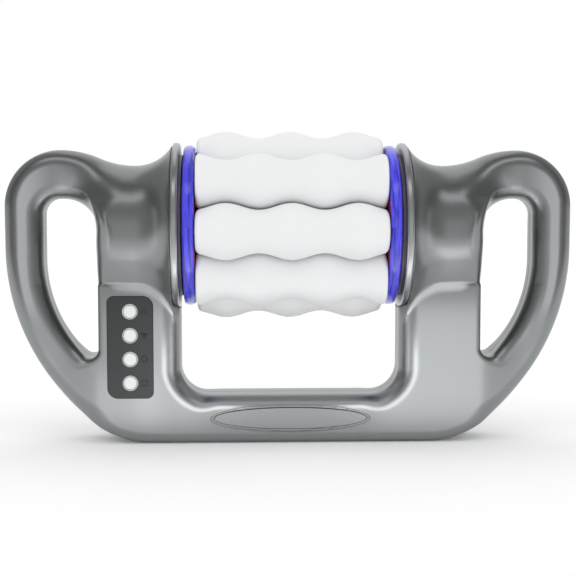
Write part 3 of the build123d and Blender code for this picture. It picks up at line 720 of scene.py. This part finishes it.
    def quarter(self, rear: bool) -> tuple[Array, Array, Array]:
        """Mesh a quarter of the housing and pull it on to the form.

        Each vertex moves by -f g / |g|^2 a few times, where f is the form and g its slope.

        Args:
            rear: Whether it is the rear quarter, at +Y.

        Returns:
            Vertices, quads and outward directions.
        """
        form = self.rear_form if rear else self.form
        side = 1 if rear else -1
        h = self.cell
        deepest, tallest = 56, 196
        x = np.arange(-h / 2, self.half_width + 2 * h, h)
        y = np.arange(-h / 2, deepest, h)
        z = np.arange(-2 * h, tallest, h)
        points, quads = surface_net(lambda a, b, c: form(a, side * b, c), [x, y, z])
        on_x, on_y = points[:, 0] < h / 2 + 1e-6, points[:, 1] < h / 2 + 1e-6
        points[on_x, 0], points[on_y, 1] = 0, 0
        if side < 0:
            points[:, 1] *= -1
            quads = quads[:, ::-1]
        for _ in range(5):
            slope = self.gradient(form, points)
            slope[on_x, 0], slope[on_y, 1] = 0, 0
            size = np.maximum((slope**2).sum(1), 0.05)
            move = slope * (form(*points.T) / size)[:, None]
            points -= np.clip(move, -h / 2, h / 2)
        normals = self.gradient(form, points)
        return points, quads, normals / np.maximum(np.linalg.norm(normals, axis=1), 1e-9)[:, None]

    def face(self, x: Array, z: Array) -> Array:
        """Find y of the front skin at (x, z) by halving the stretch from -24 to -12 mm 20 times."""
        low, high = np.full_like(x, -24.0), np.full_like(x, -12.0)
        for _ in range(20):
            middle = (low + high) / 2
            outside = self.form(x, middle, z) > 0
            low, high = np.where(outside, middle, low), np.where(outside, high, middle)
        return (low + high) / 2

    def covered(self, points: Array) -> Array:
        """Which points of the front face lie well under the panel or the badge's dish.

        The panel's part is a rectangle, and the dish's is where (x / a)^2 + (z / b)^2 < 1.

        Args:
            points: Vertices in millimetres.

        Returns:
            True for each covered vertex.
        """
        on_face = points[:, 1] < 1 - self.leg_depth
        x, z = points[:, 0], points[:, 2]
        panel_lap, corner_lap, dish_lap = 2.0, 9.0, 1.3
        (px, pz), (pw, ph) = PANEL_PLACE, PANEL_HALF
        panel = (np.abs(x - px) < pw - panel_lap) & (np.abs(z - pz) < ph - panel_lap)
        panel &= np.abs(x - px) + np.abs(z - pz) < pw + ph - corner_lap
        wide, high = (half - dish_lap for half in self.dish_half)
        dish = (x / wide) ** 2 + ((z - self.dish_z) / high) ** 2 < 1
        return on_face & (panel | dish)

    def shell(self, name: str, rear: bool) -> Piece:
        """Make one half of the housing from its quarter and the quarter's mirror image.

        The rim where the halves meet is drawn in by parting, so that a fine groove shows there.

        Args:
            name: Name of the piece.
            rear: Whether it is the rear half.

        Returns:
            The half shell.
        """
        points, quads, normals = self.quarter(rear)
        rim, middle = np.abs(points[:, 1]) < 1e-6, points[:, 0] < 1e-6
        points[rim] -= self.parting * normals[rim]
        disc, disc_depth = 6.0, 0.5  # the flat disc in the mouth is left out this far inside the flange
        mouth = np.hypot(points[:, 1], points[:, 2] - self.drum_z) < self.flange - disc
        mouth &= points[:, 0] < self.mouth_x + disc_depth
        quads = quads[~np.any(mouth[quads], 1)]
        other = np.where(middle, np.arange(len(points)), np.arange(len(points)) + len(points))
        points = np.concatenate([points, points * (-1, 1, 1)])
        normals = np.concatenate([normals, normals * (-1, 1, 1)])
        quads = np.concatenate([quads, other[quads][:, ::-1]])
        if not rear:
            quads = quads[~np.all(self.covered(points)[quads], 1)]
        points = points * MM
        used, quads = np.unique(quads, return_inverse=True)
        points, normals, quads = points[used], normals[used], quads.reshape(-1, 4)
        mesh = bpy.data.meshes.new(name)
        mesh.from_pydata(points.tolist(), [], quads.tolist())
        mesh.polygons.foreach_set("use_smooth", np.ones(len(mesh.polygons), bool))
        mesh.normals_split_custom_set_from_vertices(normals.tolist())
        return show(name, mesh)

    def build(self, nodes: list[str]) -> None:
        """Build both half shells, dress them and set them over the frame's shell nodes.

        Args:
            nodes: Names of the frame's nodes; those of a half begin with front_ or rear_.
        """
        for half, rear in (("front", False), ("rear", True)):
            piece = self.shell(f"{half}_skin", rear)
            dress(piece, HOUSING.material())
            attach(piece, "frame")
            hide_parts(*[node for node in nodes if node.startswith(f"{half}_")])
            LOG.info("%s: %d faces", piece.name, len(piece.data.polygons))


# --- rollers


@dataclass
class FoamRollers:
    """Eight wavy foam rollers round the drum.

    Attributes:
        count: Number of rollers.
        pitch: Radius of the circle of their axles.
        radius: Mean foam radius.
        wave: How far the radius swings about the mean.
        length: Length of one wave.
        half: Half the length of a roller.
        end_round: Radius of the rounding at each end.
        bore: Radius of the bore round the core.
        rest_turn: Degrees that the drum rests turned.
        axis_z: Height of the drum axis.
    """

    count: int = 8
    pitch: float = 42.9 * MM
    radius: float = 15.7 * MM
    wave: float = 2.1 * MM
    length: float = 41.3 * MM
    half: float = 60.2 * MM
    end_round: float = 3.0 * MM
    bore: float = 6.0 * MM
    rest_turn: float = 3.5
    axis_z: float = DRUM_Z * MM

    def centre(self, index: int) -> Array:
        """Where a roller's axis crosses the middle of the drum."""
        angle = radians(360 / self.count * index - self.rest_turn)
        return np.array([0.0, -self.pitch * cos(angle), self.axis_z + self.pitch * sin(angle)])

    def profile(self, sign: int) -> Array:
        """Half section of a roller, from the bore round the foam and back.

        The outer radius is the mean plus or minus wave times cos(2 pi x / length); over the last
        end_round at each end it falls by end_round minus the height of a quarter circle.

        Args:
            sign: 1 where a crest is at the middle, -1 where a hollow is.

        Returns:
            Rows of (x, radius), closed by its first point.
        """
        bend = np.linspace(0, pi / 2, 9)[1:]
        ends = self.half - self.end_round * (1 - np.sin(bend))
        x = np.concatenate([-ends[::-1], np.linspace(-1, 1, 161)[1:-1] * ends[0], ends])
        past = np.clip(np.abs(x) - (self.half - self.end_round), 0, self.end_round)
        fall = self.end_round - np.sqrt(np.maximum(self.end_round**2 - past**2, 0))
        r = self.radius + sign * self.wave * np.cos(2 * pi * x / self.length) - fall
        steps = np.linspace(self.bore, r[-1], 6)[1:-1]
        right = np.stack([np.full(4, self.half), steps[::-1]], 1)
        inside = np.stack([np.linspace(self.half, -self.half, 12), np.full(12, self.bore)], 1)
        left = np.stack([np.full(4, -self.half), steps], 1)
        return np.concatenate([np.stack([x, r], 1), right, inside, left])

    def build(self) -> None:
        """Build and dress every roller and seat it on its own body."""
        for index in range(self.count):
            sign = 1 if index % 2 == 0 else -1
            piece = lathe(f"foam_roller_{index + 1}", self.profile(sign), self.centre(index), 96)
            dress(piece, FOAM.material())
            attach(piece, f"roller_body_{index + 1}")
            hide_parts(f"roller_{index + 1}")
        LOG.info("foam rollers: %d", self.count)


# --- end rings


@dataclass(frozen=True)
class TintedPlastic:
    """Blue plastic under a hard gloss, with painted light and shade: streaks of a deep and a light tint
    stand in for what refraction shows in clear plastic.

    Attributes:
        name: Name of the material.
        deep: Colour of the painted dark streaks.
        light: Colour of the painted light streaks.
        axis_z: Height of the axis that the streaks run round.
        turn: Streaks' scale round the axis, for each radian.
        pace: Their scale along the axis and outward, for each metre.
        stops: Values of the noise where the deep and the light tint are pure.
    """

    name: str
    deep: Colour
    light: Colour
    axis_z: float = DRUM_Z * MM
    turn: float = 1.3
    pace: float = 300.0
    stops: Pair = (0.42, 0.54)

    def streaks(self) -> Tree:
        """Make the group of painted streaks of light and shade: noise over (angle, x, radius), drawn out
        round the axis.

        Returns:
            A group that gives Streak and Ripple, both masks from 0 to 1.
        """
        group = node_group("ring_painted_refraction", {"Axis Height": self.axis_z}, ["Streak", "Ripple"])
        nodes, links = group.nodes, group.links
        source, result = nodes["Group Input"], nodes["Group Output"]
        kinds = ("TexCoord", "SeparateXYZ", "CombineXYZ")
        place, split, join = (nodes.new(f"ShaderNode{kind}") for kind in kinds)
        links.new(place.outputs["Object"], split.inputs["Vector"])
        rise = math_node(group, "SUBTRACT", split.outputs["Z"], source.outputs["Axis Height"])
        turn = math_node(group, "ARCTAN2", rise, split.outputs["Y"])
        square = math_node(group, "MULTIPLY", rise, rise)
        square = math_node(group, "MULTIPLY_ADD", split.outputs["Y"], split.outputs["Y"], square)
        radius = math_node(group, "SQRT", square, 0.0)
        spots = (("X", turn, self.turn), ("Y", split.outputs["X"], self.pace), ("Z", radius, self.pace))
        for axis, value, scale in spots:
            links.new(math_node(group, "MULTIPLY", value, scale), join.inputs[axis])
        for label, scale, detail in (("Streak", 1.6, 3.0), ("Ripple", 5.0, 2.0)):
            texture = noise(nodes, detail, 0.6)
            texture.inputs["Scale"].default_value = scale
            links.new(join.outputs["Vector"], texture.inputs["Vector"])
            links.new(texture.outputs["Fac"], result.inputs[label])
        return group

    def material(self) -> bpy.types.Material:
        """Build the node material."""
        material, nodes, links = new_material(self.name)
        shader = nodes["Principled BSDF"]
        fill(shader, {"Coat Weight": 0.7, "Coat Roughness": 0.06})
        streaks = nodes.new("ShaderNodeGroup")
        streaks.node_tree = bpy.data.node_groups.get("ring_painted_refraction") or self.streaks()
        fill(streaks, {"Axis Height": self.axis_z})
        # painted light and shade: the ramp mixes a deep and a light blue along the streaks, in place of
        # refraction
        ramp = nodes.new("ShaderNodeValToRGB")
        for element, spot, colour in zip(ramp.color_ramp.elements, self.stops, (self.deep, self.light)):
            element.position = spot
            element.color = (*colour, 1)
        links.new(streaks.outputs["Streak"], ramp.inputs["Fac"])
        links.new(ramp.outputs["Color"], shader.inputs["Base Color"])
        roughen(material.node_tree, streaks.outputs["Ripple"], (0.0, 1.0), (0.12, 0.3))
        emboss(material.node_tree, streaks.outputs["Ripple"], 0.0004)
        return material


@dataclass
class EndRings:
    """The tinted rings at both ends of the rollers.

    Attributes:
        outer: Radius of the rim.
        bore: Radius of the bore.
        fullness: Exponent of the section's superellipse; 2 is an ellipse.
        steps: Points round the section.
    """

    outer: float = 52.0 * MM
    bore: float = 45.6 * MM
    fullness: float = 2.6
    steps: int = 40

    def profile(self, low: float, high: float) -> Array:
        """Section between two places on the axis: |cos|^(2/n) wide and |sin|^(2/n) thick.

        Args:
            low: Where the ring starts along X.
            high: Where it ends.

        Returns:
            Rows of (x, radius).
        """
        turn = around(self.steps)
        wide, thick = np.cos(turn), np.sin(turn)
        power = 2 / self.fullness
        x = (low + high) / 2 + (high - low) / 2 * np.sign(wide) * np.abs(wide) ** power
        middle, half = (self.outer + self.bore) / 2, (self.outer - self.bore) / 2
        return np.stack([x, middle + half * np.sign(thick) * np.abs(thick) ** power], 1)

    def build(self) -> None:
        """Build both rings on the drum."""
        # the two blues are the painted shade and light of the ring's streaks
        tinted = TintedPlastic("ring_tinted", (0.032, 0.028, 0.50), (0.088, 0.078, 0.95)).material()
        for side in ("left", "right"):
            low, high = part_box(f"{side}_end_ring")
            centre = (np.array(low) + np.array(high)) / 2
            piece = lathe(f"{side}_blue_ring", self.profile(low[0], high[0]), centre, 144)
            dress(piece, tinted)
            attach(piece, "drum")
            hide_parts(f"{side}_end_ring")
        LOG.info("end rings: 2")


# --- front details


def band(name: str, inner: Array, outer: Array, back: Array, front: Array) -> Piece:
    """Make a thin closed band between two matching loops that face the front.

    Args:
        name: Name of the piece.
        inner: Rows of (x, z) of the inner loop, in millimetres.
        outer: Rows of (x, z) of the outer loop, as many.
        back: y of the band's back, one value or one for each point of a loop.
        front: y of its front, likewise.

    Returns:
        The band.
    """
    rows = []
    for loop, y in ((inner, back), (inner, front), (outer, front), (outer, back)):
        rows.append(np.stack([loop[:, 0], np.broadcast_to(y, len(loop)), loop[:, 1]], 1))
    points = np.concatenate(rows) * MM
    return mesh_piece(name, points, grid_faces(4, len(inner), Wrap.BOTH))


@dataclass
class BadgeDish:
    """The shallow oval dish that the bare badge plate lies in.

    Attributes:
        housing: The housing whose front skin the dish's lip follows.
        rim: Half width and half height of the dish at the skin, in millimetres.
        seat: Half width and half height of its floor.
        rim_z: Height of the middle of the rim.
        seat_z: Height of the middle of the floor.
        floor_y: Place of the floor.
        lip: How far the lip reaches over the skin.
    """

    housing: Housing
    rim: Pair = (51.6, 8.7)
    seat: Pair = (49.3, 7.0)
    rim_z: float = 16.7
    seat_z: float = 16.6
    floor_y: float = -19.97
    lip: float = 1.4

    def points(self, steps: int) -> Array:
        """Rings from the outer end of the lip to the middle of the floor.

        With v from 0 at the rim to 1 at the seat, half sizes and height go straight from one to
        the other, and y goes from the skin's to the floor's as 1 - (1 - v)^8. The lip lies 0.05 mm
        proud of the skin and dives 0.2 mm into it at its outer end.

        Args:
            steps: Points round a ring.

        Returns:
            Rows of (x, y, z) in millimetres, ring by ring.
        """
        turn = around(steps)
        grow = np.concatenate([[self.lip, 0.6 * self.lip, 0.3 * self.lip], np.zeros(16)])[:, None]
        over = np.concatenate([[0.2, -0.05, -0.05], np.full(16, -0.05)])[:, None]
        v = np.concatenate([[0, 0, 0], np.linspace(0, 1, 14), [1, 1]])[:, None]
        shrink = np.concatenate([np.ones(17), [0.5, 0.05]])[:, None]
        wide = (self.rim[0] + (self.seat[0] - self.rim[0]) * v) * shrink + grow
        high = (self.rim[1] + (self.seat[1] - self.rim[1]) * v) * shrink + grow
        x = wide * np.cos(turn)
        z = self.rim_z + (self.seat_z - self.rim_z) * v + high * np.sin(turn)
        skin = self.housing.face(x.ravel(), z.ravel()).reshape(x.shape)
        y = skin + over * (1 - v) + (self.floor_y - skin) * (1 - (1 - v) ** 8)
        return np.stack([x, y, z], -1).reshape(-1, 3)

    def build(self) -> None:
        """Build the dish on the frame, over the opening left in the front skin."""
        steps = 288
        points = self.points(steps)
        rows = len(points) // steps
        middle = (rows - 1) * steps + np.arange(steps)
        piece = mesh_piece("badge_dish", points * MM, grid_faces(rows, steps, Wrap.ACROSS), (middle,))
        dress(piece, HOUSING.material())
        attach(piece, "frame")
        LOG.info("badge dish: %d faces", len(piece.data.polygons))
        self.painted_seam_shade()

    def ellipse(self, middle: float, half: Pair, grow: float, steps: int = 240) -> Array:
        """An ellipse of some points about (0, middle), with both half sizes enlarged by grow."""
        turn = around(steps)
        return np.stack([(half[0] + grow) * np.cos(turn), middle + (half[1] + grow) * np.sin(turn)], 1)

    def painted_seam_shade(self) -> None:
        """Lay dark bands of painted shade round the plate and along the dish's rim, where the grooves'
        shadow falls.
        """
        # painted shade: these dark bands stand in for the shadow in the groove round the plate and at the
        # edge of the dish's recess
        dark = Finish("badge_painted_shade", (0.03, 0.031, 0.032), roughness=0.6, tint=0.05).material()
        inner = [self.ellipse(self.seat_z, self.seat, grow) for grow in (-0.28, 0.05)]
        outer = [self.ellipse(self.rim_z, self.rim, grow) for grow in (-0.02, 0.24)]
        skin = self.housing.face(*outer[1].T)
        plate_back, plate_front, sunk, proud = -19.9, -20.85, 0.2, 0.09
        painted_shade_bands = [
            band("badge_painted_shade_plate", *inner, plate_back, plate_front),
            band("badge_painted_shade_rim", *outer, skin + sunk, skin - proud),
        ]
        for gap in painted_shade_bands:
            dress(gap, dark)
            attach(gap, "frame")


@dataclass
class PanelMarks:
    """A dark line of painted shade along the seam round the control panel, and the plain marks beside its
    buttons.

    Attributes:
        place: Middle of the panel as (x, z), in millimetres.
        half: Half its width and height.
        small: Radius of its upper left and lower right corners.
        large: Radius of the other two.
        front: Distance of the panel's front from the middle plane.
        mark_x: Middle of the marks.
        mark_size: Half size of a mark.
        line: Width of the seam.
        shade_line_y: Places of the seam's back and front.
        proud: How far a mark stands out of the panel.
    """

    place: Pair = PANEL_PLACE
    half: Pair = PANEL_HALF
    small: float = 4.0
    large: float = 6.6
    front: float = 21.2
    mark_x: float = -94.0
    mark_size: float = 2.8
    # line: Width of the painted shade line along the seam.
    line: float = 0.4
    # shade_line_y: Places of the back and front of the painted shade line.
    shade_line_y: Pair = (-20.9, -21.04)
    proud: float = 0.03

    def outline(self, grow: float) -> Array:
        """The panel's outline moved outward by grow: an arc of 16 steps at each corner."""
        corners = (
            (1, 1, self.large, 0),
            (-1, 1, self.small, 90),
            (-1, -1, self.large, 180),
            (1, -1, self.small, 270),
        )
        loops = []
        for sx, sz, radius, start in corners:
            turn = np.radians(start + np.linspace(0, 90, 17))
            x = self.place[0] + sx * (self.half[0] - radius) + (radius + grow) * np.cos(turn)
            z = self.place[1] + sz * (self.half[1] - radius) + (radius + grow) * np.sin(turn)
            loops.append(np.stack([x, z], 1))
        return np.concatenate(loops)

    def polygon(self, sides: int, start: float) -> Array:
        """A regular polygon of unit radius with softened corners, or a circle for 0 sides.

        Its radius is cos(pi / n) / cos(a), where a is the angle from the middle of the side, held
        to at most 0.92. A circle's is 0.8, so that it looks as large.
        """
        widest, circle = 0.92, 0.8
        turn = around(96)
        if sides == 0:
            return np.stack([np.cos(turn), np.sin(turn)], 1) * circle
        part = (turn - radians(start)) % (2 * pi / sides) - pi / sides
        radius = np.minimum(cos(pi / sides) / np.cos(part), widest)
        return radius[:, None] * np.stack([np.cos(turn), np.sin(turn)], 1)

    def build(self) -> None:
        """Build the painted shade line along the seam and a mark for each button."""
        # one dark material serves for the printed marks and for the painted shade of the groove round the
        # panel
        dark = Finish("mark_ink_and_seam_shade", (0.012, 0.0125, 0.014), roughness=0.5, tint=0.05).material()
        pieces = [band("panel_seam_painted_shade", self.outline(0.0), self.outline(self.line), *self.shade_line_y)]
        marks = {"up": (3, 90, 0.62), "down": (3, 270, 0.04), "timer": (0, 0, 0.66), "power": (4, 45, 0.7)}
        for button, (sides, start, inside) in marks.items():
            low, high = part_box(f"button_{button}")
            middle = np.array([self.mark_x, (low[2] + high[2]) / 2 / MM])
            shape = self.polygon(sides, start) * self.mark_size
            loops = middle + inside * shape, middle + shape
            pieces.append(band(f"mark_{button}", *loops, -self.front, -self.front - self.proud))
        for piece in pieces:
            dress(piece, dark)
            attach(piece, "frame")
        LOG.info("panel seam and marks: %d", len(pieces))


# --- studio


@dataclass(frozen=True)
class Glow:
    """A lit field of the surroundings, in degrees, or of the close card, in millimetres.

    Attributes:
        across: Its ends in azimuth, 0 at the front and positive to the right, or along X.
        upward: Its ends in elevation, or along Z.
        light: How much light it adds; 1 is white.
        fade: Over how much its edges fade, across and upward.
    """

    across: Pair
    upward: Pair
    light: float
    fade: Pair


@dataclass
class Studio:
    """Camera, floor, close card and world.

    Attributes:
        distance: From the camera to the middle plane of the object.
        height: Height of the camera over the floor.
        yaw: Degrees that the camera stands towards -X.
        aim: Point that the middle of the frame looks at.
        lens: Focal length in millimetres on a 36 mm sensor.
        room: Light of the dim room in reflections.
        boxes: Soft boxes and the pale wall behind the object.
        card_y: Place of the lit card that stands close before the legs.
        card_span: Its ends along X and along Z.
        patches: Lit patches of that card.
    """

    distance: float = 0.83
    height: float = 0.166
    yaw: float = 2.2
    aim: tuple[float, float, float] = (-0.0009, 0.0, 0.0995)
    lens: float = 79.0
    room: float = 0.14
    boxes: tuple[Glow, ...] = (
        Glow((-40, 40), (-70, 34), 0.22, (30, 10)),
        Glow((-18, 18), (-70, 6), 0.32, (14, 16)),
        Glow((-45, 45), (49, 59), 1.30, (20, 6)),
        Glow((100, 180), (-60, 90), 0.25, (20, 8)),
        Glow((-180, -100), (-60, 90), 0.25, (20, 8)),
        Glow((158, 180), (-60, 90), 0.60, (14, 8)),
        Glow((-180, -158), (-60, 90), 0.60, (14, 8)),
    )
    card_y: float = -0.08
    card_span: tuple[Pair, ...] = ((-0.25, 0.26), (0.002, 0.23))
    patches: tuple[Glow, ...] = (
        Glow((-200, 206), (-40, 74), 0.40, (20, 20)),
        Glow((-96, -64), (-40, 78), 0.62, (14, 14)),
        Glow((-134, -96), (-40, 30), 0.62, (14, 14)),
        Glow((70, 138), (-40, 78), 0.78, (18, 18)),
        Glow((-198, -174), (84, 190), 0.95, (10, 10)),
        Glow((180, 204), (84, 190), 0.95, (10, 10)),
        Glow((-58, -38), (30, 50), 3.0, (12, 12)),
        Glow((42, 62), (30, 50), 3.0, (12, 12)),
    )

    def camera(self) -> None:
        """Stand the camera in front of the object, level with the drum."""
        data = bpy.data.cameras.new("view")
        data.lens, data.sensor_width = self.lens, 36.0
        data.clip_start, data.clip_end = 0.05, 30.0
        camera = show("view", data)
        turn = radians(self.yaw)
        aim = Vector(self.aim)
        spot = Vector((aim.x - self.distance * sin(turn), -self.distance * cos(turn), self.height))
        camera.location = spot
        camera.rotation_euler = (aim - spot).to_track_quat("-Z", "Y").to_euler()
        bpy.context.scene.camera = camera

    def floor(self) -> None:
        """Lay a wide pale floor that keeps the object's shadow; it ends a little before the object."""
        size, front = 4.0, -0.30
        points = np.array([[-size, front, 0], [size, front, 0], [size, size, 0], [-size, size, 0]], float)
        floor = mesh_piece("studio_floor", points, np.array([[0, 1, 2, 3]]))
        dress(floor, Finish("floor_white", (1.0, 1.0, 1.0), roughness=0.9, tint=0.0).material())
        shader = floor.active_material.node_tree.nodes["Principled BSDF"]
        fill(shader, {"Specular IOR Level": 0.0, "Emission Color": WHITE, "Emission Strength": 0.05})

    def world(self) -> None:
        """Even white light all round, and for reflections a studio of soft boxes in a dim room.

        A direction is read as its azimuth, 0 at the front and positive to the right, and its
        elevation. The colour is that of the room plus each box times its mask.
        """
        world = bpy.data.worlds.new("studio")
        world.use_nodes = True
        bpy.context.scene.world = world
        tree = world.node_tree
        nodes, links = tree.nodes, tree.links
        place, split = nodes.new("ShaderNodeTexCoord"), nodes.new("ShaderNodeSeparateXYZ")
        links.new(place.outputs["Generated"], split.inputs["Vector"])
        forward = math_node(tree, "MULTIPLY", split.outputs["Y"], -1.0)
        azimuth = math_node(tree, "ARCTAN2", split.outputs["X"], forward)
        elevation = math_node(tree, "ARCSINE", split.outputs["Z"], 0.0)
        light = self.lit(tree, self.boxes, (azimuth, elevation), radians(1), self.room)
        path = nodes.new("ShaderNodeLightPath")
        white = math_node(tree, "SUBTRACT", 1.0, path.outputs["Is Glossy Ray"])
        shine = math_node(tree, "MULTIPLY", light, path.outputs["Is Glossy Ray"])
        strength = math_node(tree, "ADD", white, shine)
        fill(nodes["Background"], {"Color": WHITE})
        links.new(strength, nodes["Background"].inputs["Strength"])

    def window(self, tree: Tree, value: object, span: tuple, soft: float) -> object:
        """A mask that is 1 inside a span and falls smoothly to 0 over soft beyond each end."""
        edges = []
        for low, high in ((span[0] - soft, span[0]), (span[1] + soft, span[1])):
            step = tree.nodes.new("ShaderNodeMapRange")
            step.interpolation_type = "SMOOTHSTEP"
            fill(step, {"From Min": low, "From Max": high})
            tree.links.new(value, step.inputs["Value"])
            edges.append(step.outputs["Result"])
        return math_node(tree, "MULTIPLY", *edges)

    def lit(self, tree: Tree, glows: tuple, places: tuple, unit: float, base: float) -> object:
        """Light at a place: the base, plus each glow's light times its masks across and upward.

        Args:
            tree: Node tree to work in.
            glows: The lit fields.
            places: Two sockets that give the place across and upward.
            unit: How much of the sockets' unit one of the glows' is.
            base: Light where no glow reaches.

        Returns:
            The socket that gives the light.
        """
        light = base
        for glow in glows:
            masks = []
            for place, (low, high), fade in zip(places, (glow.across, glow.upward), glow.fade):
                masks.append(self.window(tree, place, (low * unit, high * unit), fade * unit))
            mask = math_node(tree, "MULTIPLY", *masks)
            light = math_node(tree, "MULTIPLY_ADD", mask, glow.light, light)
        return light

    def card(self) -> None:
        """Stand a clear card close before the object; only reflections see its lit patches."""
        (left, right), (low, high) = self.card_span
        corners = ((left, low), (left, high), (right, high), (right, low))
        points = np.array([[x, self.card_y, z] for x, z in corners])
        card = mesh_piece("studio_card", points, np.array([[0, 1, 2, 3]]))
        material, nodes, links = new_material("card_light")
        tree = material.node_tree
        nodes.remove(nodes["Principled BSDF"])
        place, split = nodes.new("ShaderNodeTexCoord"), nodes.new("ShaderNodeSeparateXYZ")
        links.new(place.outputs["Object"], split.inputs["Vector"])
        light = self.lit(tree, self.patches, (split.outputs["X"], split.outputs["Z"]), MM, 0.0)
        kinds = ("Emission", "BsdfTransparent", "AddShader")
        glow, clear, both = (nodes.new(f"ShaderNode{kind}") for kind in kinds)
        links.new(light, glow.inputs["Strength"])
        links.new(glow.outputs["Emission"], both.inputs[0])
        links.new(clear.outputs["BSDF"], both.inputs[1])
        links.new(both.outputs["Shader"], nodes["Material Output"].inputs["Surface"])
        dress(card, material)
        card.visible_camera = card.visible_diffuse = card.visible_shadow = False

    def build(self) -> None:
        """Build the whole studio."""
        self.camera()
        self.floor()
        self.card()
        self.world()
        LOG.info("studio ready")


def dress_frame(frame: dict) -> None:
    """Give every node of the frame the finish of its slot."""
    for part in frame["record"]["subparts"]:
        dress(frame["nodes"][part["node"]], SLOT_FINISH[part["material_slot"]].material())
    LOG.info("dressed %d nodes of the frame", len(frame["nodes"]))


def main() -> None:
    """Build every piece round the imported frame."""
    logging.basicConfig(level=logging.INFO, format="%(name)s: %(message)s")
    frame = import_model()
    dress_frame(frame)
    Housing().build(list(frame["nodes"]))
    FoamRollers().build()
    EndRings().build()
    BadgeDish(Housing()).build()
    PanelMarks().build()
    Studio().build()


if __name__ == "__main__":
    bpy.context.scene.view_settings.view_transform = "Standard"
    main()
